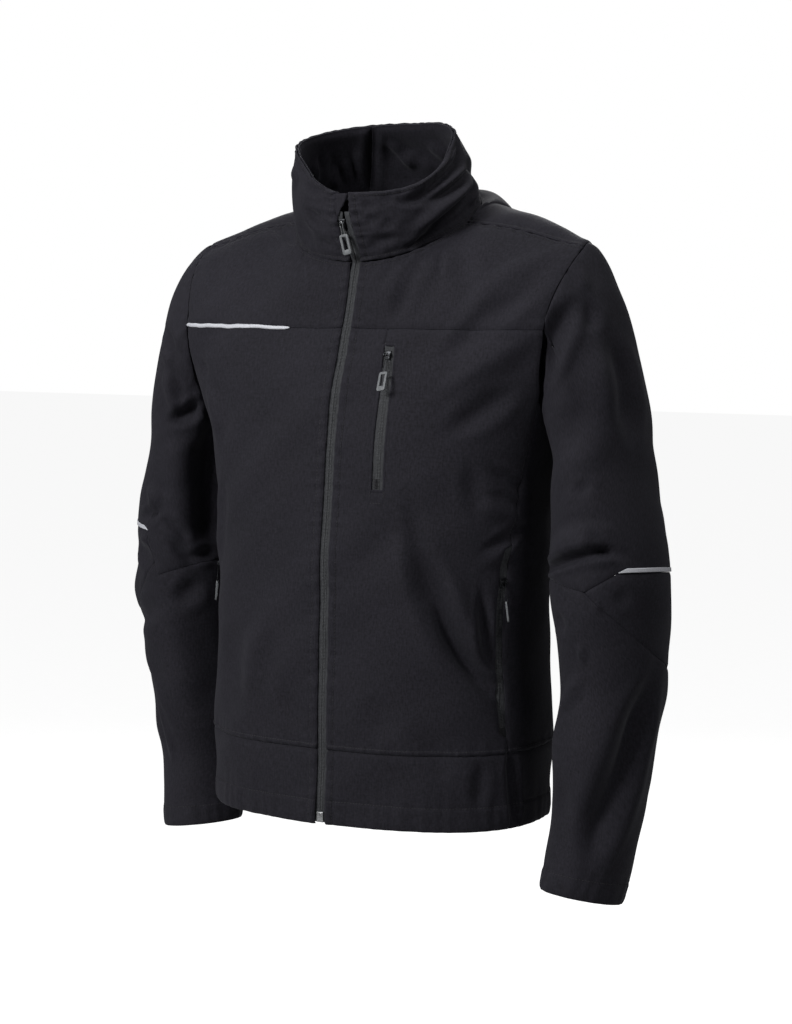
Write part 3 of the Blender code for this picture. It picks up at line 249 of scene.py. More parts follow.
# Sleeves: one row for each ring from the armhole to the cuff, as on the wearer's left
sleeves = {
    "left": {
        "centre": [(0.256, 0.020, -0.270), (0.2703, 0.004, -0.385), (0.277, 0.000, -0.489),
                   (0.272, -0.011, -0.569), (0.267, -0.018, -0.634), (0.259, -0.036, -0.715)],
        "halfWidth": [0.047, 0.0597, 0.053, 0.050, 0.046, 0.043],
        "halfDepth": [0.075, 0.073, 0.065, 0.061, 0.053, 0.047],
        "capFullness": 0.50, "cuffLift": 0.005, "cuffSlant": 0.0,
        "seamAngle": [-178, -110, -64, 52, 86, 140, 182],
        "seamLevel": [2.00, 1.98, 1.97, 1.97, 2.13, 1.99, 2.00],
        "insertDepth": 0.82, "pipingFront": math.radians(52),
    },
    "right": {
        "centre": [(0.252, 0.026, -0.270), (0.268, 0.030, -0.385), (0.263, 0.026, -0.489),
                   (0.253, 0.025, -0.570), (0.249, 0.025, -0.630), (0.238, 0.003, -0.694)],
        "halfWidth": [0.049, 0.058, 0.053, 0.050, 0.046, 0.043],
        "halfDepth": [0.075, 0.073, 0.064, 0.059, 0.052, 0.046],
        "capFullness": 1.15, "cuffLift": 0.014, "cuffSlant": math.radians(6.5),
        "seamAngle": [-178, -110, -64, 52, 76, 90, 140, 182],
        "seamLevel": [2.05, 1.95, 1.76, 1.78, 1.785, 2.24, 2.08, 2.05],
        "insertDepth": 0.92, "pipingFront": math.radians(76),
    },
}
elbow = {"frontTip": math.radians(86), "deepest": math.radians(-45), "backTip": math.radians(-178),
         "pipingBack": math.radians(-64)}
armhole = {"steps": 24, "leaveOut": 0.12, "leaveFlatter": 0.25, "underarmEase": 0.55}
cuff = {"level": 6.0, "reach": 0.090}


def armholeHalves():  # from the shoulder tip to the armpit, in front and behind
    steps = np.linspace(0, 1, armhole["steps"])
    start = frontEdgeAngle(heights["armpit"])
    end = backEdgeAngle(heights["armpit"])
    z = mix(heights["yoke"], heights["armpit"], steps[1:])
    frontAngles = mix(start, (start + end) / 2, steps[1:])
    backAngles = mix(end, (start + end) / 2, steps[1:])
    front = [yokeColumn(1.0, 1 - steps), torsoPoint(frontEdgeAngle(z), z),
             torsoPoint(frontAngles, armpitZ(frontAngles))]
    back = [backTopColumn(-1.0, 1 - steps), torsoPoint(backEdgeAngle(z), z),
            torsoPoint(backAngles, armpitZ(backAngles))]
    return np.concatenate(front), np.concatenate(back)


frontLoop, backLoop = armholeHalves()


def loopPoint(angle):  # 0 at the shoulder tip, 90 degrees in front, 180 under the arm
    turn = (angle + math.pi) % (2 * math.pi) - math.pi
    half = frontLoop if turn >= 0 else backLoop
    run = runLength(half)
    return readLine(abs(turn) / math.pi, run / run[-1], half)


def sleeveColumn(side, angle, levels):  # level 0 at the armhole, 1 at the first ring, on to the cuff
    sleeve = sleeves[side]
    centres = np.array(sleeve["centre"])
    stations = [loopPoint(angle)]
    for index, centre in enumerate(centres):
        axis = unit(centres[min(index + 1, len(centres) - 1)] - centres[max(index - 1, 0)])
        outward = unit(np.array([1.0, 0.0, 0.0]) - axis * axis[0])
        forward = np.cross(outward, axis)
        forward = forward if forward[1] < 0 else -forward
        stations.append(centre + outward * sleeve["halfWidth"][index] * math.cos(angle)
                        + forward * sleeve["halfDepth"][index] * math.sin(angle))
    stations = np.array(stations)
    top = (1 + math.cos(angle)) / 2
    leave = unit([armhole["leaveOut"] + sleeve["capFullness"] * top, 0.0, armhole["leaveFlatter"] * top - 1.0])
    stations[0] = stations[0] + leave * cloth["armholeGap"]
    slopes = np.gradient(stations, axis=0)
    chord = np.linalg.norm(stations[1] - stations[0])
    slopes[0] = leave * chord
    arriving = slopes.copy()
    arriving[1] = unit(stations[2] - stations[1]) * chord * mix(armhole["underarmEase"], 1, top)
    slopes[1] = stations[2] - stations[1]
    levels = np.asarray(levels, float)
    index = np.clip(np.floor(levels).astype(int), 0, len(centres) - 1)
    u = (levels - index)[:, None]
    points = hermite(u, stations[index], slopes[index], stations[index + 1], arriving[index + 1])
    return points * sides[side]


def turnedBack(angle):
    return (angle - elbow["backTip"]) % (2 * math.pi) + elbow["backTip"]


def seamLevel(side, angle):  # level of the seam above the elbow
    sleeve = sleeves[side]
    return float(np.interp(math.degrees(turnedBack(angle)), sleeve["seamAngle"], sleeve["seamLevel"]))


def insertLowLevel(side, angle):  # lower edge of the elbow insert
    angle = turnedBack(angle)
    back, deepest, front = elbow["backTip"], elbow["deepest"], elbow["frontTip"]
    if not back < angle < front:
        return seamLevel(side, angle)
    share = (angle - back) / (front - back)
    rise = (front - angle) / (front - deepest) if angle > deepest else (angle - back) / (deepest - back)
    drop = sleeves[side]["insertDepth"] * math.sin(math.pi / 2 * rise)
    return mix(seamLevel(side, back), seamLevel(side, front), share) + drop


print("form ready")

# Folds: width and depth in mm, share of the run that fades out at each end, run.
# Troughs have a positive depth, ridges a negative one. Front and back runs are (x, z) in mm,
# sleeve runs are (degrees, level), and collar and facing runs are (degrees, height).
folds = {
    "front": [
        (12, 11, 0.4, [(94, -300), (101, -342), (111, -380), (124, -416), (138, -450), (156, -481),
            (169, -503), (182, -535)]),
        (6.5, 4.8, 0.4, [(116, -396), (138, -450), (156, -481), (169, -503), (182, -535)]),
        (11, -5.5, 0.4, [(130, -370), (145, -415), (156, -452), (170, -486)]),
        (6, 7.2, 0.4, [(161, -385), (163, -428), (164, -452), (168, -470), (180, -497)]),
        (4.5, 2.6, 0.4, [(164, -486), (177, -500)]),
        (4, 2.2, 0.4, [(166, -497), (178, -511)]),
        (20, -3, 0.4, [(85, -330), (92, -420)]),
        (11, -5.5, 0.4, [(128, -124), (205, -48)]),
        (9, -5, 0.4, [(150, -145), (216, -40)]),
        (13, -6, 0.4, [(115, -200), (216, -130)]),
        (10, 5.5, 0.4, [(110, -165), (212, -84)]),
        (10, 6.2, 0.4, [(125, -238), (200, -186)]),
        (6.2, 5, 0.4, [(164, -268), (190, -304)]),
        (8, -5, 0.4, [(156, -306), (188, -330)]),
        (5.8, 5, 0.4, [(160, -356), (188, -332)]),
        (7.5, -3.4, 0.4, [(156, -372), (186, -350)]),
        (9, 3.2, 0.4, [(150, -262), (158, -330)]),
        (4, 1.8, 0.4, [(97, -50), (104, -80)]),
        (8, 3.6, 0.3, [(80, -54), (58, -124)]),
        (5, 1.4, 0.4, [(52, -66), (40, -90)]),
        (10, 3, 0.4, [(112, -40), (140, -110)]),
        (6, 3, 0.4, [(-142, -24), (-106, -34), (-82, -50)]),
        (10, 2.6, 0.4, [(-205, -52), (-170, -85)]),
        (5.5, 1.6, 0.4, [(-60, -62), (-56, -92)]),
        (12, -5.5, 0.4, [(-182, -190), (-166, -225), (-160, -262)]),
        (7, 3.4, 0.4, [(-196, -168), (-176, -186)]),
        (11, -4.5, 0.4, [(-158, -285), (-168, -340), (-172, -400)]),
        (14, -4.2, 0.4, [(-73, -426), (-90, -480), (-104, -540)]),
        (10, 2.2, 0.4, [(-52, -505), (-22, -560)]),
        (18, 3.4, 0.4, [(-120, -440), (-135, -530)]),
        (16, 2.2, 0.4, [(60, -500), (75, -560)]),
        (13, 2.6, 0.4, [(100, -535), (128, -572), (132, -610)]),
        (6, 6, 0.2, [(183, -566), (185, -646)]),
        (7.5, 3.4, 0.4, [(165, -570), (161, -630)]),
    ],
    "back": [
        (11, 6.5, 0.4, [(150, -430), (110, -480), (55, -515), (0, -525), (-40, -520)]),
        (12, 6.5, 0.4, [(-150, -400), (-105, -460), (-50, -495), (0, -500)]),
        (10, 4.5, 0.4, [(155, -500), (100, -545), (40, -565)]),
        (10, 5, 0.4, [(-155, -500), (-105, -540), (-50, -560)]),
        (13, 6.8, 0.4, [(-168, -190), (-135, -245), (-98, -315), (-70, -395), (-58, -460)]),
        (13, 6.5, 0.4, [(168, -195), (140, -250), (105, -320), (80, -390), (62, -450)]),
        (13, -4, 0.4, [(-150, -250), (-124, -330), (-104, -410)]),
        (13, -4, 0.4, [(155, -265), (130, -335), (112, -410)]),
        (14, 3, 0.4, [(60, -100), (30, -160), (12, -240)]),
        (14, -2.8, 0.4, [(-50, -110), (-34, -180), (-24, -250)]),
        (12, 5, 0.4, [(168, -330), (172, -420)]),
        (12, 5, 0.4, [(-168, -340), (-174, -430)]),
    ],
    "left": [
        (10.5, 10.5, 0.4, [(24, 0.17), (40, 0.15), (58, 0.13), (78, 0.11), (98, 0.11), (114, 0.15)]),
        (9, 5, 0.4, [(22, 0.18), (27, 0.25), (37, 0.32)]),
        (7, -2.6, 0.4, [(17, 0.02), (20, 0.17)]),
        (15, -4.6, 0.4, [(34, 0.34), (40, 0.6), (46, 0.85)]),
        (15, 7.5, 0.4, [(16, 0.36), (14, 0.62), (22, 0.98)]),
        (16, 4.5, 0.4, [(70, 0.55), (90, 0.8), (110, 0.95)]),
        (4.8, 10, 0.2, [(156, 1.9), (126, 1.87), (98, 1.82), (78, 1.79), (64, 1.785), (52, 1.8),
            (42, 1.84)]),
        (7.5, 4.8, 0.4, [(82, 1.56), (66, 1.7), (47, 1.78)]),
        (10, -6, 0.4, [(140, 1.72), (100, 1.68), (72, 1.66), (50, 1.71)]),
        (8, 2.6, 0.4, [(86, 1.18), (76, 1.32)]),
        (14.5, 13, 0.3, [(12, 2.8), (32, 3.84), (54, 4.9), (63, 5.7)]),
        (20, -4.2, 0.4, [(52, 2.9), (74, 3.6), (98, 4.6)]),
        (4.5, -3.2, 0.4, [(94, 2.58), (94, 2.84)]),
        (8, -3.6, 0.4, [(94, 2.88), (108, 3.08), (140, 3.42)]),
        (4, -2.2, 0.4, [(74, 2.2), (75, 2.32)]),
        (8, 2.6, 0.4, [(60, 2.16), (40, 2.22)]),
        (9, 3.8, 0.4, [(128, 2.3), (112, 2.52)]),
        (12, 3, 0.4, [(120, 4.4), (96, 5.1)]),
        (13, 7, 0.4, [(-110, 1.72), (-70, 1.62), (-30, 1.62)]),
        (10, 5.5, 0.4, [(-140, 2.86), (-110, 2.94), (-80, 3.02), (-50, 3)]),
        (17, 5, 0.4, [(-40, 3.4), (-70, 4.6)]),
        (13, 6, 0.4, [(-50, 0.4), (-80, 0.75), (-104, 1.15)]),
    ],
    "right": [
        (6, 4.6, 0.4, [(28, 0.39), (60, 0.27), (80, 0.2), (97, 0.14)]),
        (6, -3.4, 0.4, [(40, 0.44), (70, 0.33), (90, 0.27)]),
        (6.5, -5.5, 0.4, [(76, 0.34), (92, 0.46), (102, 0.55)]),
        (7, 10.5, 0.4, [(90, 0.7), (104, 0.58), (120, 0.4), (134, 0.1), (140, 0)]),
        (18, 15, 0.25, [(152, 0.1), (150, 0.7), (149, 1.1), (149, 1.5), (152, 2)]),
        (14, -4, 0.4, [(104, 0.74), (108, 1.1), (110, 1.4)]),
        (5.5, 5.2, 0.4, [(60, 1.68), (82, 1.6), (97, 1.55)]),
        (7.5, -5.5, 0.4, [(68, 1.34), (82, 1.46), (92, 1.55)]),
        (5.5, 5, 0.4, [(92, 1.63), (108, 1.69), (118, 1.76), (126, 1.94)]),
        (6, 4.2, 0.4, [(104, 1.8), (112, 1.88), (126, 2.04), (138, 2.15)]),
        (6, 5.5, 0.4, [(122, 2.03), (158, 1.97)]),
        (6, -3.4, 0.4, [(62, 1.9), (86, 1.84)]),
        (8.5, 4.6, 0.4, [(40, 1.92), (70, 2.04), (96, 2.14)]),
        (22, -6, 0.4, [(10, 2.42), (50, 2.46)]),
        (10, 4.4, 0.4, [(26, 2.78), (66, 2.66), (100, 2.56)]),
        (12, 4.6, 0.4, [(30, 3.05), (52, 4), (72, 4.9)]),
        (5.5, -3.4, 0.4, [(58, 3.6), (70, 4.5), (80, 5.2)]),
        (18, -4, 0.4, [(100, 2.6), (112, 3.4), (116, 4.2)]),
        (10, 5.5, 0.4, [(140, 2.25), (124, 2.42), (104, 2.48)]),
        (13, 7, 0.4, [(-110, 1.6), (-70, 1.52), (-30, 1.5)]),
        (10, 5.5, 0.4, [(-142, 2.84), (-112, 2.92), (-80, 2.98), (-52, 2.96)]),
        (17, 5, 0.4, [(-50, 3.4), (-80, 4.6)]),
        (13, 6, 0.4, [(-50, 0.4), (-80, 0.75), (-104, 1.15)]),
    ],
    "collar": [
        (5.2, 8.8, 0.25, [(114, 0.12), (88, 0.09), (68, 0.07), (50, 0.05), (32, 0.08)]),
        (8.2, 12.5, 0.3, [(112, 0.3), (92, 0.28), (74, 0.26), (58, 0.2), (46, 0.1), (38, 0.03)]),
        (7, -5.5, 0.3, [(104, 0.48), (76, 0.46), (56, 0.38), (40, 0.28)]),
        (4.8, 8.5, 0.25, [(116, 0.94), (100, 0.8), (85, 0.82), (72, 0.83), (58, 0.8), (46, 0.78),
            (34, 0.82)]),
        (4.8, 5.4, 0.4, [(106, 0.58), (84, 0.62), (69, 0.66), (52, 0.68), (38, 0.74)]),
        (5, -4, 0.3, [(102, 0.71), (76, 0.73), (54, 0.72)]),
        (7, 3, 0.4, [(28, 0.6), (29, 0.38)]),
        (4.8, 3, 0.4, [(12, 0.86), (24, 0.72)]),
        (4.8, 2.6, 0.4, [(15, 0.62), (28, 0.56)]),
        (4.6, 4.6, 0.4, [(12, 0.3), (20, 0.27), (36, 0.27)]),
        (4.5, 2.8, 0.4, [(13, 0.2), (25, 0.15)]),
        (5, 2.2, 0.4, [(34, 0.94), (30, 0.8)]),
        (4.8, 3.4, 0.4, [(-36, 0.85), (-26, 0.87), (-15, 0.92)]),
        (5, 4.8, 0.4, [(-32, 0.57), (-19, 0.5), (-8, 0.49)]),
        (4.5, 3, 0.4, [(-11, 0.67), (-19, 0.59), (-30, 0.6)]),
        (4.2, 3.2, 0.4, [(-19, 0.26), (-7, 0.2)]),
        (8.5, 2.6, 0.4, [(-44, 0.36), (-32, 0.28), (-22, 0.14)]),
        (9, -3.4, 0.4, [(-60, 0.66), (-52, 0.9)]),
        (7.8, 4, 0.4, [(140, 0.22), (124, 0.36), (108, 0.58), (98, 0.72)]),
        (10, 4, 0.4, [(160, 0.4), (178, 0.46), (-160, 0.38)]),
        (8, 3.4, 0.4, [(-128, 0.2), (-112, 0.4), (-98, 0.62), (-88, 0.78)]),
    ],
    "facing": [
        (5.2, -5.5, 0.1, [(-156, 0.99), (-149, 0.5), (-143, 0.01)]),
        (6.2, -3.4, 0.3, [(-157, 0.78), (-165, 0.49), (-176, 0.26)]),
        (6.5, 3, 0.4, [(-164, 0.86), (-172, 0.6), (178, 0.38)]),
        (7, -2.4, 0.4, [(170, 0.62), (178, 0.46), (-172, 0.3)]),
        (9, 4, 0.4, [(166, 0.76), (150, 0.5)]),
        (5.5, 4.6, 0.4, [(-114, 0.8), (-113, 0.34)]),
        (5.5, 4, 0.4, [(-103, 0.82), (-101, 0.36)]),
        (5, 4.4, 0.4, [(-131, 0.66), (-129, 0.16)]),
        (5, 4, 0.4, [(-121, 0.6), (-119, 0.16)]),
        (5, 3.6, 0.4, [(-142, 0.8), (-139, 0.2)]),
    ],
}
foldShape = {"least": 0.06, "narrowest": 0.60, "lip": 0.30, "lipAt": 1.9, "lipWidth": 0.8, "facingRoom": 0.0032}
swell = [  # long soft waves of the whole cloth: direction times radians per metre, start, height
    {"way": (31.0, 17.0, 43.0), "start": 0.4, "height": 0.00080},
    {"way": (-47.0, 29.0, 25.0), "start": 1.9, "height": 0.00070},
    {"way": (63.0, -38.0, -71.0), "start": 2.7, "height": 0.00050},
    {"way": (-88.0, 60.0, 96.0), "start": 0.9, "height": 0.00030},
    {"way": (150.0, -95.0, 104.0), "start": 2.2, "height": 0.00014},
]


def nearestOn(columnAt, x, z):  # the point of the shoulder's cloth that is nearest in x and z
    shares = np.linspace(0, 1, 41)
    columns = np.array([columnAt(share, shares) for share in shares])
    away = np.abs(columns[..., 0] - abs(x)) + np.abs(columns[..., 2] - z)
    return columns[np.unravel_index(away.argmin(), away.shape)] * np.array([np.sign(x), 1.0, 1.0])


def frontPlace(x, z):
    if z > heights["yoke"]:
        return nearestOn(yokeColumn, x, z)
    return torsoPoint(angleAtX(x, z), z)


def backPlace(x, z):
    if z > heights["yoke"]:
        return nearestOn(lambda share, up: backTopColumn(-share, up), x, z)
    return torsoPoint(math.pi - angleAtX(x, z), z)


def foldLine(on, run):
    places = []
    for first, second in run:
        if on == "front":
            places.append(frontPlace(first / 1000, second / 1000))
        elif on == "back":
            places.append(backPlace(first / 1000, second / 1000))
        elif on in sleeves:
            places.append(sleeveColumn(on, math.radians(first), [second])[0])
        else:
            places.append(collarPoint(math.radians(first), second))
    line = np.array(places)
    run = runLength(line)
    dense = np.linspace(0, run[-1], 4 * len(line))
    return np.stack([smoothThrough(dense, run, line[:, axis]) for axis in range(3)], axis=-1)


foldLines = {}
for on, rows in folds.items():
    foldLines[on] = [(foldLine(on, run), width / 1000, depth / 1000, fade) for width, depth, fade, run in rows]


def foldGroups(name):  # which folds show on a piece
    if "facing" in name:
        return "collar", "facing"
    if "sleeve" in name or "elbow" in name:
        return name.split("_")[-1:]
    return ("collar",) if "collar" in name else ("front", "back")


def nearLine(points, line):  # distance from each point to a line, and the nearest place along it
    run = runLength(line)
    best = np.full(points.shape[:-1], 1.0)
    place = np.zeros(points.shape[:-1])
    for index, step in enumerate(np.diff(line, axis=0)):
        if step.dot(step) == 0:
            continue
        share = np.clip((points - line[index]) @ step / step.dot(step), 0.0, 1.0)
        away = np.linalg.norm(points - line[index] - share[..., None] * step, axis=-1)
        place = np.where(away < best, mix(run[index], run[index + 1], share), place)
        best = np.minimum(best, away)
    return best, place


def foldDepths(points, name):  # a trough fades out at both ends and has a low lip on each side
    total = np.zeros(points.shape[:-1])
    for group in foldGroups(name):
        depths = np.zeros(points.shape[:-1])
        for line, width, depth, fadeShare in foldLines[group]:
            away, place = nearLine(points, line)
            length = runLength(line)[-1]
            fade = np.clip(np.minimum(place, length - place) / (fadeShare * length), 0.0, 1.0)
            fade = mix(foldShape["least"], 1, ease(fade))
            across = away / (width * mix(foldShape["narrowest"], 1, fade))
            lip = foldShape["lip"] * np.exp(-((across - foldShape["lipAt"]) / foldShape["lipWidth"]) ** 2)
            depths += depth * fade * (np.exp(-across ** 2) - lip)
        if group == "facing":  # ridges of the inner cloth stay clear of the outer one
            room = foldShape["facingRoom"]
            depths = np.where(depths < 0, room * np.tanh(depths / room), depths)
        total += depths
    return total


def swellHeights(points):
    return sum(wave["height"] * np.sin(points @ np.array(wave["way"]) + wave["start"]) for wave in swell)


print("folds placed:", sum(len(rows) for rows in folds.values()))

# Seam profiles: sink at the edge, stitch line at an inset, puff between them, small puckers along it
seamKinds = {
    "plain": {"sink": 0.0010, "width": 0.0024},
    "armhole": {"sink": 0.0010, "width": 0.0026, "pucker": 0.0004, "wave": 0.021},
    "stitched": {"sink": 0.0010, "width": 0.0020, "inset": 0.0052, "puff": 0.0006, "pucker": 0.0004,
                 "wave": 0.013},
    "neck": {"sink": 0.0002, "width": 0.0011, "inset": 0.0046, "puff": 0.0005, "pucker": 0.0005, "wave": 0.012},
    "zip": {"sink": 0.0010, "width": 0.0016, "inset": 0.0090, "puff": 0.0004, "pucker": 0.0005, "wave": 0.013},
    "collarZip": {"sink": 0.0012, "width": 0.0016, "inset": 0.0090, "puff": 0.0008, "pucker": 0.0011,
                  "wave": 0.0085},
    "rim": {"sink": 0.0004, "width": 0.0010, "inset": 0.0045, "puff": 0.0008, "pucker": 0.0005, "wave": 0.013,
            "groove": 0.0013},
    "hem": {"sink": 0.0006, "width": 0.0012, "inset": 0.0255, "puff": 0.0009, "pucker": 0.0005, "wave": 0.017},
    "cuff": {"sink": 0.0006, "width": 0.0012, "inset": 0.0215, "puff": 0.0008, "pucker": 0.0004, "wave": 0.017},
    "slot": {"sink": 0.0010, "width": 0.0014, "inset": 0.0030, "puff": 0.0004, "pucker": 0.0002, "wave": 0.013},
    "facingRim": {"sink": -0.0032, "width": 0.0045},
    "facingSeam": {"sink": 0.0016, "width": 0.0048},
}
seamPlain = {"inset": 0.0, "puff": 0.0, "pucker": 0.0, "wave": 0.014, "groove": 0.0006}
for kind, profile in seamKinds.items():
    seamKinds[kind] = {**seamPlain, **profile}
seamShape = {"puffStart": 0.25, "puffEnd": 1.2, "puffRamp": 0.3, "grooveWidth": 0.0011, "puckerReach": 0.010}
edgeSteps = {"near": [0.0, 0.0008, 0.0018, 0.0032], "besideStitch": 0.0012, "most": 0.45}
stitchRuns = []  # lines of sewing, each a run of points with the cloth's normals
bodyCore = np.array([0.0, 0.02, -0.30])
collarCore = np.array([0.0, 0.0, 0.01])
fine = 0.0033
coarse = 0.0043


def ticks(kind, length):  # distances from an edge that its profile needs
    inset = seamKinds[kind]["inset"]
    near = list(edgeSteps["near"])
    if inset:
        near += [inset + edgeSteps["besideStitch"] * way for way in (-1, 0, 1)]
    near = sorted({round(distance, 5) for distance in near})
    return [distance for distance in near if distance < length * edgeSteps["most"]]


def spread(length, first, last, step):  # shares of a length, closer together near both edges
    places = ticks(first, length) + [length - distance for distance in reversed(ticks(last, length))]
    filled = []
    for a, b in zip(places, places[1:]):
        filled += list(np.linspace(a, b, max(1, math.ceil((b - a) / step)), endpoint=False))
    return np.array(filled + [length]) / length


def anglesByRun(start, end, z, shares):  # angles round the body at even distances
    dense = np.linspace(start, end, 300)
    run = runLength(torsoPoint(dense, z))
    return np.interp(shares * run[-1], run, dense)


def gridNormals(grid, closed, core, keep):  # outward normals, and whether the grid's order gives them
    following = np.roll(grid, -1, axis=1) if closed else grid[:, 1:]
    here = grid if closed else grid[:, :-1]
    cells = np.cross(following[1:] - here[:-1], here[1:] - following[:-1])
    if keep is not None:
        cells = cells * keep[..., None]
    total = np.zeros_like(grid)
    columns = cells.shape[1]
    for row in (0, 1):
        total[row:row + len(cells), :columns] += cells
        if closed:
            total[row:row + len(cells)] += np.roll(cells, 1, axis=1)
        else:
            total[row:row + len(cells), 1:] += cells
    length = np.linalg.norm(total, axis=-1, keepdims=True)
    normals = total / np.where(length > 0, length, 1.0)
    forwards = float(np.sum(normals * (grid - core))) > 0
    return (normals if forwards else -normals), forwards


def seamHeights(away, along, kind):
    profile = seamKinds[kind]
    inset = profile["inset"]
    height = -profile["sink"] * np.exp(-(away / profile["width"]) ** 2)
    if inset:
        middle = np.clip(away / inset, 0.0, 2.0)
        fall = np.clip(seamShape["puffEnd"] - middle, 0.0, seamShape["puffRamp"]) / seamShape["puffRamp"]
        height += profile["puff"] * fall * np.clip(middle / seamShape["puffStart"], 0.0, 1.0)
        height -= profile["groove"] * np.exp(-((away - inset) / seamShape["grooveWidth"]) ** 2)
    wave = 2 * math.pi * along / profile["wave"]
    wave = np.sin(wave + 1.7 * np.sin(wave / 3.7)) + 0.5 * np.sin(wave * 0.61 + 0.8)  # uneven puckers
    reach = max(inset, seamShape["puckerReach"])
    return height + profile["pucker"] * wave * np.exp(-((away - 0.5 * inset) / reach) ** 2)


def edgeDistances(grid, edge, closed):  # distance of each point from an edge, and along it
    loop = np.concatenate([grid, grid[:, :1]], axis=1) if closed else grid
    down = np.pad(np.cumsum(np.linalg.norm(np.diff(grid, axis=0), axis=-1), axis=0), ((1, 0), (0, 0)))
    across = np.pad(np.cumsum(np.linalg.norm(np.diff(loop, axis=1), axis=-1), axis=1), ((0, 0), (1, 0)))
    across = across[:, :grid.shape[1]]
    return {"low": (down, across), "high": (down[-1:] - down, across),
            "start": (across, down), "end": (across[:, -1:] - across, down)}[edge]


def newMesh(name, vertices, faces):
    mesh = bpy.data.meshes.new(name)
    mesh.from_pydata(np.asarray(vertices, float).tolist(), [], faces)
    piece = bpy.data.objects.new(name, mesh)
    bpy.context.scene.collection.objects.link(piece)
    return piece


def pick(piece):
    bpy.ops.object.select_all(action="DESELECT")
    piece.select_set(True)
    bpy.context.view_layer.objects.active = piece


def applyAll(piece):
    pick(piece)
    for modifier in list(piece.modifiers):
        bpy.ops.object.modifier_apply(modifier=modifier.name)


def stitchAlong(grid, normals, edge, distance, closed):  # a sewing line at a distance from an edge
    away, _ = edgeDistances(grid, edge, closed)
    level = edge in ("low", "high")
    if level:
        away, grid, normals = away.T, np.swapaxes(grid, 0, 1), np.swapaxes(normals, 0, 1)
    points, outs = [], []
    for distances, line, lineOuts in zip(away, grid, normals):
        order = np.argsort(distances)
        points.append(readLine(distance, distances[order], line[order]))
        outs.append(readLine(distance, distances[order], lineOuts[order]))
    if closed and level:
        points.append(points[0])
        outs.append(outs[0])
    stitchRuns.append((np.array(points), np.array(outs)))


# Materials
def feed(tree, node, inputs):  # link a socket, or set a plain value
    for key, value in inputs.items():
        if isinstance(value, bpy.types.NodeSocket):
            tree.links.new(value, node.inputs[key])
        else:
            node.inputs[key].default_value = value
    return node


def addNode(tree, kind, inputs, **settings):
    node = tree.nodes.new(kind)
    for key, value in settings.items():
        setattr(node, key, value)
    return feed(tree, node, inputs)


def mathNode(tree, operation, *values):
    return addNode(tree, "ShaderNodeMath", dict(enumerate(values)), operation=operation).outputs[0]


def newGroup(name, inputs, output):
    group = bpy.data.node_groups.new(name, "ShaderNodeTree")
    for socket, kind in inputs.items():
        group.interface.new_socket(socket, in_out="INPUT", socket_type=kind)
    group.interface.new_socket(output, in_out="OUTPUT", socket_type="NodeSocketFloat")
    return group, group.nodes.new("NodeGroupInput"), group.nodes.new("NodeGroupOutput")


def weaveGroup():  # plain weave from cloth coordinates in metres
    sockets = {"Vector": "NodeSocketVector", "Threads": "NodeSocketFloat"}
    group, start, end = newGroup("plainWeave", sockets, "Height")
    split = addNode(group, "ShaderNodeSeparateXYZ", {0: start.outputs["Vector"]})
    waves = []
    for axis in ("X", "Y"):
        turns = mathNode(group, "MULTIPLY", split.outputs[axis], start.outputs["Threads"])
        waves.append(mathNode(group, "SINE", mathNode(group, "MULTIPLY", turns, math.pi)))
    both = mathNode(group, "MULTIPLY", *waves)
    feed(group, end, {"Height": mathNode(group, "MULTIPLY_ADD", both, 0.5)})
    return group


streaks = [  # across and along the warp, the last one a slow cloudiness
    {"scale": (640.0, 130.0, 1.0), "share": 0.44},
    {"scale": (330.0, 420.0, 1.0), "share": 0.40},
    {"scale": (9.0, 7.0, 1.0), "share": 0.16},
]


def streakGroup():  # long soft streaks of the warp
    group, start, end = newGroup("warpStreaks", {"Vector": "NodeSocketVector"}, "Amount")
    parts = []
    for streak in streaks:
        inputs = {"Vector": start.outputs["Vector"], "Scale": streak["scale"]}
        mapping = addNode(group, "ShaderNodeMapping", inputs)
        inputs = {"Vector": mapping.outputs[0], "Scale": 1.0, "Detail": 2.0}
        noise = addNode(group, "ShaderNodeTexNoise", inputs)
        parts.append(mathNode(group, "MULTIPLY", noise.outputs["Fac"], streak["share"]))
    total = mathNode(group, "ADD", mathNode(group, "ADD", parts[0], parts[1]), parts[2])
    feed(group, end, {"Amount": total})
    return group


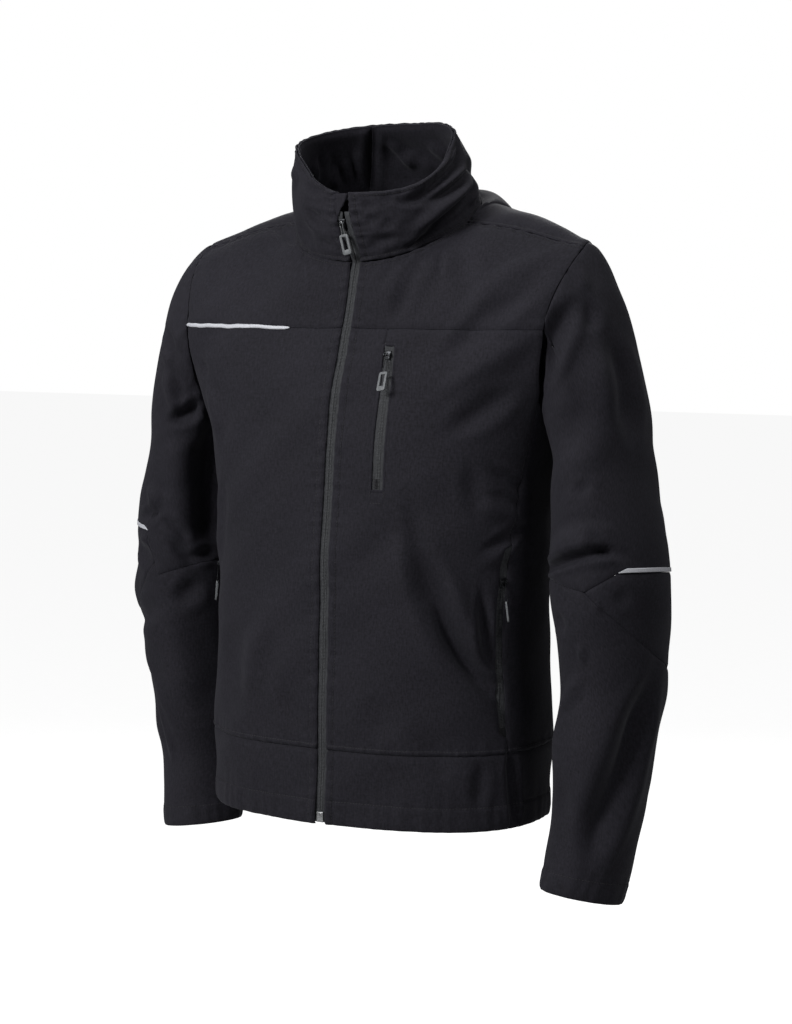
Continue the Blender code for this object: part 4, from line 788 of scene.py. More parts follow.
plainWeave = weaveGroup()
warpStreaks = streakGroup()
weaveFinish = {"contrast": 0.13, "strength": 0.35, "relief": 0.00012, "sheenRough": 0.5,
               "sheenTint": (0.80, 0.82, 0.90, 1)}
grainFinish = {"contrast": 0.15, "strength": 0.4, "detail": 3.0}
woven = {
    "softshell": {"dark": (0.0104, 0.0098, 0.0134, 1), "light": (0.0222, 0.0209, 0.0282, 1), "threads": 2600.0,
                  "rough": (0.72, 0.90), "sheen": 0.06, "specular": 0.16},
    "zipTape": {"dark": (0.024, 0.0251, 0.0277, 1), "light": (0.0535, 0.0558, 0.061, 1), "threads": 1500.0,
                "rough": (0.62, 0.78), "sheen": 0.05, "specular": 0.20},
}
grained = {
    "reflectivePiping": {"dark": (0.50, 0.51, 0.55, 1), "light": (0.66, 0.67, 0.72, 1), "rough": (0.32, 0.48),
                         "metallic": 0.0, "grain": 1400.0, "relief": 0.00006},
    "thread": {"dark": (0.006, 0.006, 0.008, 1), "light": (0.016, 0.015, 0.019, 1), "rough": (0.60, 0.80),
               "metallic": 0.0, "grain": 2600.0, "relief": 0.00008},
    "zipCoil": {"dark": (0.030, 0.0315, 0.034, 1), "light": (0.068, 0.071, 0.076, 1), "rough": (0.45, 0.60),
                "metallic": 0.0, "grain": 2200.0, "relief": 0.00004},
    "zipStop": {"dark": (0.34, 0.35, 0.36, 1), "light": (0.62, 0.63, 0.64, 1), "rough": (0.24, 0.36),
                "metallic": 0.8, "grain": 900.0, "relief": 0.00003},
    "darkMetal": {"dark": (0.020, 0.021, 0.023, 1), "light": (0.055, 0.057, 0.062, 1), "rough": (0.30, 0.46),
                  "metallic": 0.85, "grain": 900.0, "relief": 0.00003},
    "linkMetal": {"dark": (0.26, 0.27, 0.28, 1), "light": (0.46, 0.47, 0.48, 1), "rough": (0.22, 0.36),
                  "metallic": 0.9, "grain": 900.0, "relief": 0.00002},
    "pullTab": {"dark": (0.12, 0.128, 0.136, 1), "light": (0.20, 0.209, 0.218, 1), "rough": (0.36, 0.50),
                "metallic": 0.0, "grain": 1100.0, "relief": 0.00004},
    "paleFloor": {"dark": (0.36, 0.36, 0.36, 1), "light": (0.42, 0.42, 0.42, 1), "rough": (0.7, 0.8),
                  "metallic": 0.0, "grain": 30.0, "relief": 0.0001},
}


def newMaterial(name):
    material = bpy.data.materials.new(name)
    material.use_nodes = True
    return material, material.node_tree, material.node_tree.nodes["Principled BSDF"]


def finishFrom(tree, shader, look, amount, contrast, relief):  # colour, roughness and a fine relief
    ramp = addNode(tree, "ShaderNodeValToRGB", {0: amount})
    stops = zip(ramp.color_ramp.elements, (0.5 - contrast, 0.5 + contrast), (look["dark"], look["light"]))
    for stop, place, colour in stops:
        stop.position = place
        stop.color = colour
    low, high = look["rough"]
    rough = addNode(tree, "ShaderNodeMapRange", {"Value": amount, "To Min": low, "To Max": high})
    bump = addNode(tree, "ShaderNodeBump", relief)
    for socket, node in (("Base Color", ramp), ("Roughness", rough), ("Normal", bump)):
        tree.links.new(node.outputs[0], shader.inputs[socket])


def wovenMaterial(name, look):
    material, tree, shader = newMaterial(name)
    place = addNode(tree, "ShaderNodeUVMap", {}, uv_map="cloth").outputs[0]
    threads = {"Vector": place, "Threads": look["threads"]}
    weave = addNode(tree, "ShaderNodeGroup", threads, node_tree=plainWeave)
    streak = addNode(tree, "ShaderNodeGroup", {"Vector": place}, node_tree=warpStreaks)
    relief = {"Height": weave.outputs["Height"], "Strength": weaveFinish["strength"],
              "Distance": weaveFinish["relief"]}
    finishFrom(tree, shader, look, streak.outputs["Amount"], weaveFinish["contrast"], relief)
    feed(tree, shader, {"Specular IOR Level": look["specular"], "Sheen Weight": look["sheen"],
                        "Sheen Roughness": weaveFinish["sheenRough"], "Sheen Tint": weaveFinish["sheenTint"]})
    return material


def grainMaterial(name, look):  # mottled finish in object coordinates
    material, tree, shader = newMaterial(name)
    place = addNode(tree, "ShaderNodeTexCoord", {}).outputs["Object"]
    grain = {"Vector": place, "Scale": look["grain"], "Detail": grainFinish["detail"]}
    amount = addNode(tree, "ShaderNodeTexNoise", grain).outputs["Fac"]
    relief = {"Height": amount, "Strength": grainFinish["strength"], "Distance": look["relief"]}
    finishFrom(tree, shader, look, amount, grainFinish["contrast"], relief)
    feed(tree, shader, {"Metallic": look["metallic"]})
    return material


looks = {name: wovenMaterial(name, look) for name, look in woven.items()}
looks.update({name: grainMaterial(name, look) for name, look in grained.items()})
clothLooks = {"cloth": "softshell", "tape": "zipTape", "piping": "reflectivePiping"}
print("materials made:", len(looks))


def dress(piece, body, look):  # the body it rides on and its finish
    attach(piece, body)
    piece.data.materials.clear()
    piece.data.materials.append(looks[look])


neckSway = {  # the closed zip leans to the wearer's left below the slider: height, shift of each edge
    "z": [-0.300, -0.210, -0.165, -0.130, -0.110, -0.090, -0.061, -0.040, -0.022, 0.000, 0.012],
    "left": [0.0, 0.0008, 0.0022, 0.0043, 0.0064, 0.0086, 0.0092, 0.0078, 0.0042, 0.0010, 0.0],
    "right": [0.0, 0.0008, 0.0022, 0.0043, 0.0064, 0.0086, 0.0086, 0.0052, 0.0010, 0.0, 0.0],
    "reach": 0.055, "depth": 0.040,
}


def swayed(grid):
    shift = np.where(grid[..., 0] > 0, smoothThrough(grid[..., 2], neckSway["z"], neckSway["left"]),
                     smoothThrough(grid[..., 2], neckSway["z"], neckSway["right"]))
    front = np.clip(-grid[..., 1] / neckSway["depth"], 0.0, 1.0)
    shift = shift * np.exp(-(grid[..., 0] / neckSway["reach"]) ** 2) * ease(front)
    return grid + shift[..., None] * np.array([1.0, 0.0, 0.0])


def layOut(piece, grid, used, closed):  # cloth coordinates in metres, the warp along the grid's columns
    down, across = edgeDistances(grid, "low", closed)
    across = np.broadcast_to(across.mean(axis=0), across.shape)
    width = across.max()
    place = np.stack([across, down], axis=-1).reshape(-1, 2)[used]
    corner = np.zeros(len(piece.data.loops), dtype=np.int32)
    piece.data.loops.foreach_get("vertex_index", corner)
    place = place[corner].reshape(-1, 4, 2)
    wraps = np.ptp(place[..., 0], axis=1) > width / 2  # the cells that close a tube
    ends = place[wraps, :, 0]
    place[wraps, :, 0] = np.where(ends < width / 2, ends + width + fine, ends)
    layer = piece.data.uv_layers.new(name="cloth")
    layer.data.foreach_set("uv", place.astype(np.float32).ravel())


def addCloth(name, grid, edges, core, closed=False, keep=None, lift=0.0, wall=cloth["wall"], extra=0.0,
             slot="cloth", stands=True):
    grid = swayed(np.asarray(grid, float))
    normals, forwards = gridNormals(grid, closed, core, keep)
    height = lift - foldDepths(grid, name) + swellHeights(grid) + extra
    for edge, kind in edges.items():
        height = height + seamHeights(*edgeDistances(grid, edge, closed), kind)
    outer = grid + normals * height[..., None]
    rows, columns = grid.shape[:2]
    spans = columns if closed else columns - 1
    index = np.arange(rows * columns).reshape(rows, columns)
    right = np.roll(index, -1, axis=1)[:, :spans]
    left = index[:, :spans]
    cells = np.stack([left[:-1], right[:-1], right[1:], left[1:]], axis=-1)
    cells = cells if forwards else cells[..., ::-1]
    cells = cells[keep] if keep is not None else cells.reshape(-1, 4)
    used, compact = np.unique(cells, return_inverse=True)
    piece = newMesh(name + "_cloth", outer.reshape(-1, 3)[used], compact.reshape(-1, 4).tolist())
    layOut(piece, grid, used, closed)
    solid = piece.modifiers.new("wall", "SOLIDIFY")
    solid.thickness = wall
    solid.offset = -1
    applyAll(piece)
    piece.data.shade_smooth()
    dress(piece, "jacket", clothLooks[slot])
    if stands:
        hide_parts(name)
    outerNormals, _ = gridNormals(outer, closed, core, keep)
    for edge, kind in edges.items():
        if seamKinds[kind]["inset"]:
            stitchAlong(outer, outerNormals, edge, seamKinds[kind]["inset"], closed)
    return outer


# fronts, with the chest pocket's slot in the left one
frontSeams = {"low": "stitched", "high": "plain", "start": "zip", "end": "plain"}
frontCut = {"toSlot": 0.047, "pastSlot": 0.165, "armholeFrom": -0.300, "seamSink": 0.0012, "seamWidth": 0.0011}
slotLow = chestSlot["bottom"]
slotHigh = chestSlot["top"]
lowShares = spread(slotLow - heights["waist"], "stitched", "slot", fine)
midShares = spread(slotHigh - slotLow, "slot", "slot", fine)
highShares = spread(heights["yoke"] - slotHigh, "slot", "plain", fine)
frontZ = np.concatenate([mix(heights["waist"], slotLow, lowShares[:-1]), mix(slotLow, slotHigh, midShares[:-1]),
                         mix(slotHigh, heights["yoke"], highShares)])
frontZ[0] += halfSeam
frontZ[-1] -= halfSeam
innerShares = spread(frontCut["toSlot"], "zip", "slot", fine)
slotShares = np.linspace(0, 1, 5)
outerShares = spread(frontCut["pastSlot"], "slot", "slot", fine)


def seamAngle(z, distance):  # the side seam, moved round the body by a distance
    seam = frontEdgeAngle(z)
    return seam + turnFor(seam, z, distance)


def pocketOpening(z):  # the side edge is drawn in along the hand pocket, with short curved ends
    share = np.clip(min(z - handPocket["bottom"], handPocket["top"] - z) / handPocket["ramp"], 0.0, 1.0)
    return handPocket["open"] * math.sin(math.pi / 2 * share) ** handPocket["rampPower"]


def frontRow(z):
    slotStart = angleAtX(chestSlot["x"] - chestSlot["half"], z)
    slotEnd = angleAtX(chestSlot["x"] + chestSlot["half"], z)
    gap = cloth["armholeGap"] / 2 if z > frontCut["armholeFrom"] else halfSeam
    angles = [anglesByRun(angleAtX(zipper["halfGap"], z), slotStart, z, innerShares)[:-1],
              anglesByRun(slotStart, slotEnd, z, slotShares)[:-1],
              anglesByRun(slotEnd, seamAngle(z, -gap - pocketOpening(z)), z, outerShares)]
    return torsoPoint(np.concatenate(angles), z)


frontGrid = np.array([frontRow(z) for z in frontZ])
slotRows = slice(len(lowShares) - 1, len(lowShares) + len(midShares) - 2)
slotColumns = slice(len(innerShares) - 1, len(innerShares) + len(slotShares) - 2)
slotKeep = np.ones((len(frontGrid) - 1, frontGrid.shape[1] - 1), bool)
slotKeep[slotRows, slotColumns] = False
frontX, frontUp = frontGrid[..., 0], frontGrid[..., 2]
besideX = np.abs(frontX - chestSlot["x"]) - chestSlot["half"]
besideZ = np.maximum(slotLow - frontUp, frontUp - slotHigh)
slotAway = np.hypot(np.maximum(besideX, 0), np.maximum(besideZ, 0))
seamAway = np.hypot(frontX - chestSlot["x"] + chestSlot["half"], np.maximum(slotHigh - frontUp, 0))
slotHeights = seamHeights(slotAway, frontUp, "slot")  # and a seam from the slot up to the yoke
slotHeights -= frontCut["seamSink"] * np.exp(-(seamAway / frontCut["seamWidth"]) ** 2)
frontFace = addCloth("front_left", frontGrid, frontSeams, bodyCore, keep=slotKeep, extra=slotHeights)
addCloth("front_right", frontGrid * sides["right"], frontSeams, bodyCore)


def sewThrough(places):  # a sewing line through places on the made left front
    outs = [torsoPlace(float(angleAtX(x, z)), z)[3] for x, z in places]
    rows = [frontFace[np.abs(frontZ - z).argmin()] for x, z in places]
    points = [readLine(x, row[:, 0], row) for (x, z), row in zip(places, rows)]
    stitchRuns.append((np.array(points), np.array(outs)))


bracket = {"left": 0.0507, "right": 0.0663, "top": -0.297, "bottom": -0.310}  # sewn below the chest zip
for x in (bracket["left"], bracket["right"]):
    sewThrough([(x, z) for z in np.arange(bracket["top"], bracket["bottom"], -fine)])
sewThrough([(x, bracket["bottom"]) for x in np.linspace(bracket["left"], bracket["right"], 8)])

# yokes
yokeSeams = {"low": "plain", "high": "neck", "start": "zip", "end": "armhole"}
yokeCut = {"up": 0.11, "across": 0.265}
yokeUp = spread(yokeCut["up"], "plain", "neck", fine)
yokeAngles = anglesByRun(angleAtX(zipper["halfGap"], heights["yoke"]), frontEdgeAngle(heights["yoke"]),
                         heights["yoke"], spread(yokeCut["across"], "zip", "armhole", fine))
yokeAcross = (yokeAngles - yokeAngles[0]) / (yokeAngles[-1] - yokeAngles[0])
yokeAcross[np.abs(yokeAcross - shoulder["neckShare"]).argmin()] = shoulder["neckShare"]
yokeGrid = np.swapaxes(np.array([yokeColumn(across, yokeUp) for across in yokeAcross]), 0, 1)
for rows in (yokeGrid, yokeGrid[::-1]):  # both edges drawn in by half a seam
    step = rows[2] - rows[0]
    rows[0] += step / np.linalg.norm(step, axis=-1, keepdims=True) * halfSeam
for side, mirror in sides.items():
    addCloth("yoke_" + side, yokeGrid * mirror, yokeSeams, bodyCore)

# hem band, and the seam edges turned in behind it
bandSeams = {"low": "hem", "high": "plain", "start": "zip", "end": "plain"}
bandCut = {"up": 0.079, "front": 0.225, "back": 0.640}
turning = {"half": 0.0040, "lift": -0.0034, "wall": 0.0008, "above": 0.016, "columns": 321}
bandZ = mix(heights["hem"], heights["waist"], spread(bandCut["up"], "hem", "plain", fine))
bandZ[-1] -= halfSeam
frontShares = spread(bandCut["front"], "zip", "plain", fine)
backShares = spread(bandCut["back"], "plain", "plain", coarse)


def ringRow(start, end, z, shares):
    return torsoPoint(anglesByRun(start, end, z, shares), z)


bandFront = np.array([ringRow(angleAtX(zipper["halfGap"], z), seamAngle(z, -halfSeam), z, frontShares)
                      for z in bandZ])
bandBack = np.array([ringRow(seamAngle(z, halfSeam), 2 * math.pi - seamAngle(z, halfSeam), z, backShares)
                     for z in bandZ])
for side, mirror in sides.items():
    addCloth("waistband_" + side, bandFront * mirror, bandSeams, bodyCore)
addCloth("waistband_back", bandBack, {**bandSeams, "start": "plain"}, bodyCore)
waistTurning = []
for z in heights["waist"] + turning["half"] * np.array([-1.0, 0.0, 1.0]):
    zipEdge = angleAtX(zipper["halfGap"], z)
    waistTurning.append(ringRow(zipEdge, 2 * math.pi - zipEdge, z, np.linspace(0, 1, turning["columns"])))
sideZ = np.append(bandZ[1:], heights["waist"] + turning["above"] * np.array([0.25, 0.5, 0.75, 1.0]))
sideTurning = [torsoPoint(seamAngle(z, turning["half"] * np.array([-1.0, 0.0, 1.0])), z) for z in sideZ]
turnings = {"turning_waist": np.array(waistTurning)}
for side, mirror in sides.items():
    turnings["turning_" + side] = np.array(sideTurning) * mirror
for name, grid in turnings.items():
    addCloth(name, grid, {}, bodyCore, lift=turning["lift"], wall=turning["wall"], stands=False)

# back, which wraps round to the side seams and over the shoulders
backSeams = {"low": "stitched", "high": "neck", "start": "plain", "end": "plain"}
backCut = {"low": 0.365, "middle": 0.075, "top": 0.185, "side": 0.135, "half": 0.300}
backLow = spread(backCut["low"], "stitched", "armhole", coarse)
backMid = np.linspace(0, 1, max(3, round(backCut["middle"] / coarse)))
backTop = spread(backCut["top"], "armhole", "neck", coarse)
backSide = spread(backCut["side"], "plain", "armhole", coarse)
backHalf = spread(backCut["half"], "armhole", "plain", coarse)
topAngles = anglesByRun(backEdgeAngle(heights["yoke"]), math.pi, heights["yoke"], backHalf)
halfAcross = (topAngles - math.pi) / (math.pi - topAngles[0])
halfAcross[np.abs(halfAcross + shoulder["neckShare"]).argmin()] = -shoulder["neckShare"]


def backAngles(z):
    corner = backEdgeAngle(max(z, heights["armpit"]))
    side = anglesByRun(seamAngle(min(z, heights["armpit"]), halfSeam), corner, z, backSide)[:-1]
    half = np.concatenate([side, anglesByRun(corner, math.pi, z, backHalf)])
    return np.concatenate([half, 2 * math.pi - half[-2::-1]])


def lowBackRow(share):  # rows below the armhole bend up to its lower edge
    angles = backAngles(mix(heights["waist"], heights["armpit"], share))
    edge = armpitZ(np.minimum(angles, 2 * math.pi - angles))
    return torsoPoint(angles, mix(heights["waist"], edge, share))


backRows = [lowBackRow(share) for share in backLow]
for z in mix(heights["armpit"], heights["yoke"], backMid[1:-1]):
    backRows.append(torsoPoint(backAngles(z), z))
topHalf = np.swapaxes(np.array([backTopColumn(across, backTop) for across in halfAcross]), 0, 1)
flipped = topHalf[:, -2::-1] * sides["right"]
margin = len(backSide) - 1
corner = len(backLow) - 1
topRows = np.concatenate([np.repeat(topHalf[:, :1], margin, axis=1), topHalf, flipped,
                          np.repeat(flipped[:, -1:], margin, axis=1)], axis=1)
backGrid = np.concatenate([np.array(backRows), topRows])
backKeep = np.ones((len(backGrid) - 1, backGrid.shape[1] - 1), bool)
backKeep[corner:, :margin] = False
backKeep[corner:, -margin:] = False
mirrored = np.concatenate([np.abs(backGrid[..., :1]), backGrid[..., 1:]], axis=-1)
underarm = np.concatenate([backGrid[corner, :margin + 1], backGrid[corner:, margin]])
armholeAway, _ = nearLine(mirrored, underarm)
addCloth("back", backGrid, backSeams, bodyCore, keep=backKeep,
         extra=seamHeights(armholeAway, backGrid[..., 2], "armhole"))

# collar and its inner cloth
collarSeams = {"low": "neck", "high": "rim", "start": "collarZip", "end": "collarZip"}
facingSeams = {"low": "plain", "high": "facingRim"}
collarCut = {"up": 0.082, "girth": 0.555, "facingLeft": 0.320, "facingRight": 0.235, "finer": 0.7,
             "neckGap": 0.002, "zipWidening": 0.0006, "seamHalf": 0.002,
             "seamTop": math.radians(205), "seamLow": math.radians(218)}


def collarEnd(height):
    halfGap = zipper["halfGap"] + collarCut["zipWidening"] * height
    return np.arcsin(halfGap / mix(neck["halfWidth"], rim["halfWidth"], height))


def collarFarEnd(height):
    return 2 * math.pi - collarEnd(height)


def facingSeam(height, aside):  # the seam of the inner cloth, off the middle of the back
    return mix(collarCut["seamLow"], collarCut["seamTop"], height) + aside * collarCut["seamHalf"]


def collarGrid(first, last, shares):
    dense = np.linspace(first(0.5), last(0.5), 400)
    run = runLength(collarPoint(dense, 0.5))
    angleShare = (np.interp(shares * run[-1], run, dense) - dense[0]) / (dense[-1] - dense[0])
    rows = [collarPoint(mix(first(height), last(height), angleShare), height) for height in collarRows]
    return np.array(rows)


collarRows = spread(collarCut["up"], "neck", "rim", fine * collarCut["finer"])
collarRows[0] += collarCut["neckGap"]
collarShares = spread(collarCut["girth"], "collarZip", "collarZip", fine)
addCloth("collar", collarGrid(collarEnd, collarFarEnd, collarShares), collarSeams, collarCore)
facingLift = -(cloth["wall"] + cloth["seamGap"] + foldShape["facingRoom"])
facingLeft = collarGrid(collarEnd, lambda height: facingSeam(height, -1),
                        spread(collarCut["facingLeft"], "plain", "facingSeam", fine))
facingRight = collarGrid(lambda height: facingSeam(height, 1), collarFarEnd,
                         spread(collarCut["facingRight"], "plain", "plain", fine))
addCloth("collar_facing_left", facingLeft, {**facingSeams, "end": "facingSeam"}, collarCore, lift=facingLift)
addCloth("collar_facing_right", facingRight, facingSeams, collarCore, lift=facingLift)

# sleeves
sleeveCut = {"girth": 0.42, "upper": 0.235, "lower": 0.330, "insertGirth": 0.28, "insert": 0.080,
             "insertEnd": 0.02, "levelLength": 0.105}


def sleeveGrid(side, angles, start, end, shares):
    columns = []
    for angle in angles:
        dense = np.linspace(start(angle), end(angle), 60)
        run = runLength(sleeveColumn(side, angle, dense))
        columns.append(sleeveColumn(side, angle, np.interp(shares * run[-1], run, dense)))
    return np.swapaxes(np.array(columns), 0, 1)


def levelCuff(side, grid):  # the front of a cuff hangs as low as its back
    centres = np.array(sleeves[side]["centre"]) * sides[side]
    axis = unit(centres[-1] - centres[-2])
    sight = np.array([-math.sin(view["azimuth"]), math.cos(view["azimuth"]), -math.sin(view["elevation"])])
    flat = unit(axis - sight * axis.dot(sight) / sight.dot(sight))
    slant = sleeves[side]["cuffSlant"]
    flat = flat * math.cos(slant) + unit(np.cross(flat, sight)) * math.sin(slant)
    drop = -(grid[-1] @ flat) / axis.dot(flat)
    drop = drop - drop.min() - sleeves[side]["cuffLift"]
    away, _ = edgeDistances(grid, "high", True)
    return grid + axis * (drop * ease(np.clip(1 - away / cuff["reach"], 0.0, 1.0)))[..., None]


def sleeveCore(side):
    return np.array(sleeves[side]["centre"][1]) * sides[side]


gapLevels = halfSeam / sleeveCut["levelLength"]
turns = np.linspace(elbow["backTip"], elbow["backTip"] + 2 * math.pi, round(sleeveCut["girth"] / fine),
                    endpoint=False)
insertEnds = (elbow["backTip"] + sleeveCut["insertEnd"], elbow["frontTip"] - sleeveCut["insertEnd"])
insertAngles = np.linspace(*insertEnds, round(sleeveCut["insertGirth"] / fine))
for side in sides:
    core = sleeveCore(side)
    upper = sleeveGrid(side, turns, lambda angle: 0.0, lambda angle: seamLevel(side, angle) - gapLevels,
                       spread(sleeveCut["upper"], "armhole", "plain", fine))
    addCloth("sleeve_upper_" + side, upper, {"low": "armhole", "high": "plain"}, core, closed=True)
    lower = sleeveGrid(side, turns, lambda angle: insertLowLevel(side, angle) + gapLevels,
                       lambda angle: cuff["level"], spread(sleeveCut["lower"], "plain", "cuff", fine))
    lower = levelCuff(side, lower)
    addCloth("sleeve_lower_" + side, lower, {"low": "plain", "high": "cuff"}, core, closed=True)
    insert = sleeveGrid(side, insertAngles, lambda angle: seamLevel(side, angle) + gapLevels,
                        lambda angle: insertLowLevel(side, angle) - gapLevels,
                        spread(sleeveCut["insert"], "plain", "plain", fine))
    addCloth("sleeve_elbow_" + side, insert, {"low": "plain", "high": "plain"}, core)

# zip tapes behind the cloth
tapeCut = {"across": [0.0, 0.0006, 0.0016, 0.0030, 0.0050, 0.0070, 0.0140], "apart": 0.00012, "step": 0.00002,
           "sunk": {"left": 0.0002, "right": 0.0010}, "sunkFrom": 0.0024, "sunkOver": 0.0030,
           "chestPast": 0.006, "pocketPast": 0.004}
tapeWall = {"lift": -0.0014, "wall": 0.0010, "slot": "tape"}
pocketTapeWall = {"lift": -0.0026, "wall": 0.0010, "slot": "tape"}
zipTop = zipper["sliderHeight"] + zipper["aboveSlider"]
zipLow = heights["hem"] + zipper["hemOffset"]
zipLine = [torsoPoint(0.0, z) for z in np.arange(zipLow, heights["yoke"], zipper["step"])]
zipLine += list(yokeColumn(0.0, np.linspace(0, 1, 20)))
zipLine += [collarPoint(0.0, height) for height in np.linspace(0, zipTop, 14)[1:]]
zipLine = np.array(zipLine) * np.array([0.0, 1.0, 1.0])
neckNear = np.clip((zipLine[:, 2] - zipper["neckZ"]) / zipper["neckBlend"] + 1, 0.0, 1.0)
tapeWidths = mix(zipper["tapeWidth"], zipper["neckTapeWidth"], neckNear)
reach = np.minimum(tapeCut["across"], tapeWidths[:, None])
reach = reach + np.arange(len(tapeCut["across"])) * tapeCut["step"] + tapeCut["apart"]
tape = zipLine[:, None, :] + reach[..., None] * np.array([1.0, 0.0, 0.0])
tapeSunk = np.clip((reach - tapeCut["sunkFrom"]) / tapeCut["sunkOver"], 0.0, 1.0)
tapeFaces = {}
for side, mirror in sides.items():
    tapeFaces[side] = addCloth("zip_tape_" + side, tape * mirror, {}, bodyCore,
                               extra=-tapeCut["sunk"][side] * tapeSunk, **tapeWall)
zipRuns = [(tapeFaces["left"][:, 0] + tapeFaces["right"][:, 0]) / 2]
chestZ = np.linspace(slotLow - tapeCut["chestPast"], slotHigh + tapeCut["chestPast"], 46)
chestHalf = chestSlot["half"] + handPocket["margin"]
chestX = chestSlot["x"] + np.linspace(-chestHalf, chestHalf, 15)
chestTape = np.array([torsoPoint(angleAtX(chestX, z), z) for z in chestZ])
zipRuns.append(addCloth("chest_zip_tape", chestTape, {}, bodyCore, **tapeWall)[:, 7])
pocketEnds = (handPocket["bottom"] - tapeCut["pocketPast"], handPocket["top"] + tapeCut["pocketPast"])
pocketZ = np.linspace(*pocketEnds, 56)
pocketAcross = np.linspace(-handPocket["open"] - handPocket["margin"], handPocket["margin"], 12)
pocketTape = np.array([torsoPoint(seamAngle(z, pocketAcross), z) for z in pocketZ])
for side, mirror in sides.items():
    face = addCloth("pocket_zip_tape_" + side, pocketTape * mirror, {}, bodyCore, **pocketTapeWall)
    zipRuns.append((face[:, 5] + face[:, 6]) / 2)

# reflective piping, a little wavy, narrower at its ends
piping = {"half": 0.0021, "start": 0.147, "end": 0.985, "taper": 0.025, "tip": 0.35, "length": 0.25,
          "round": 0.0005, "lift": 0.0005, "wall": 0.0008, "yokeRise": 0.125, "elbowLift": 0.0008,
          "elbowGap": 0.002, "elbowDepth": 0.038, "elbowTaper": 0.16, "elbowTip": 0.12}
pipingLevels = np.linspace(-1, 1, 6)
pipingShares = np.linspace(piping["start"], piping["end"], 120)
pipingRun = pipingShares * piping["length"]
pipingWave = 0.0002 * np.sin(pipingRun * 190) + 0.0003 * np.sin(pipingRun * 83 + 1.0)
pipingEnds = np.minimum(pipingShares - piping["start"], piping["end"] - pipingShares) / piping["taper"]
pipingHalf = piping["half"] * mix(piping["tip"], 1, np.sqrt(np.clip(pipingEnds, 0.0, 1.0)))


def yokeSeamPoint(share, rise):  # a place beside the yoke seam, above or below it
    if rise > 0:
        return yokeColumn(share, [rise / piping["yokeRise"]])[0]
    z = heights["yoke"] + rise
    return torsoPoint(mix(angleAtX(zipper["halfGap"], z), frontEdgeAngle(z), share), z)


pipingRows = []
for level in pipingLevels:
    rises = pipingWave + pipingHalf * level
    pipingRows.append([yokeSeamPoint(share, rise) for share, rise in zip(pipingShares, rises)])
pipingRound = piping["round"] * (1 - pipingLevels[:, None] ** 2)
addCloth("chest_piping", np.array(pipingRows) * sides["right"], {}, bodyCore, lift=piping["lift"],
         wall=piping["wall"], extra=pipingRound, slot="piping")


def elbowPipingTop(side, angle):
    tip = sleeves[side]["pipingFront"]
    depth = piping["elbowDepth"] * min(1.0, piping["elbowTip"] + (tip - angle) / piping["elbowTaper"])
    return seamLevel(side, angle) - piping["elbowGap"] - depth


for side in sides:
    angles = np.linspace(elbow["pipingBack"], sleeves[side]["pipingFront"], 80)
    strip = sleeveGrid(side, angles, lambda angle: elbowPipingTop(side, angle),
                       lambda angle: seamLevel(side, angle) - piping["elbowGap"], np.linspace(0, 1, 6))
    addCloth("elbow_piping_" + side, strip, {}, sleeveCore(side), lift=piping["elbowLift"],
             wall=piping["wall"], slot="piping")

# flap over the top of the front zip, from its point up to the rim
flap = {"low": 0.66, "high": 0.985, "left": (-0.0062, -0.0108), "right": (-0.0048, 0.0064), "curve": 2.5,
        "lift": 0.0004, "wall": 0.0008}
flapRows = []
for share in np.linspace(0, 1, 12):
    centre = collarPoint(0.0, mix(flap["low"], flap["high"], share))
    across = np.linspace(mix(*flap["left"], share), mix(*flap["right"], share), 7)
    flapRows.append(np.stack([across, centre[1] + flap["curve"] * across ** 2, np.full(7, centre[2])], axis=-1))
addCloth("zip_garage", np.array(flapRows), {}, collarCore, lift=flap["lift"], wall=flap["wall"])
print("tapes, piping and flap placed")

# sewing and bar tacks, then the zip teeth below each slider
bitRings = [(-0.5, 0.35), (-0.30, 1.0), (0.30, 1.0), (0.5, 0.35)]  # place along a bit, share of its radius
bitSides = 5
bitReach = 0.001  # how far to each side a run's direction is read
sewing = {"pitch": 0.0033, "length": 0.0027, "radius": 0.00038, "lift": 0.00012, "sag": 0.0003}
tack = {"pitch": 0.0008, "length": 0.0095, "radius": 0.00034, "lift": 0.0006, "rows": (0.0,)}
tackReach = {"below": 0.001, "above": 0.012}
teeth = {"pitch": 0.0015, "length": 0.0026, "radius": 0.00040, "lift": 0.00012, "rows": (-0.0014, 0.0014)}


def bitFaces(first):  # rings joined, and both ends closed
    faces = []
    for low in range(first, first + (len(bitRings) - 1) * bitSides, bitSides):
        for step in range(bitSides):
            after = (step + 1) % bitSides
            faces.append([low + step, low + bitSides + step, low + bitSides + after, low + after])
    last = first + (len(bitRings) - 1) * bitSides
    faces.append([first + step for step in range(bitSides)])
    faces.append([last + step for step in reversed(range(bitSides))])
    return faces


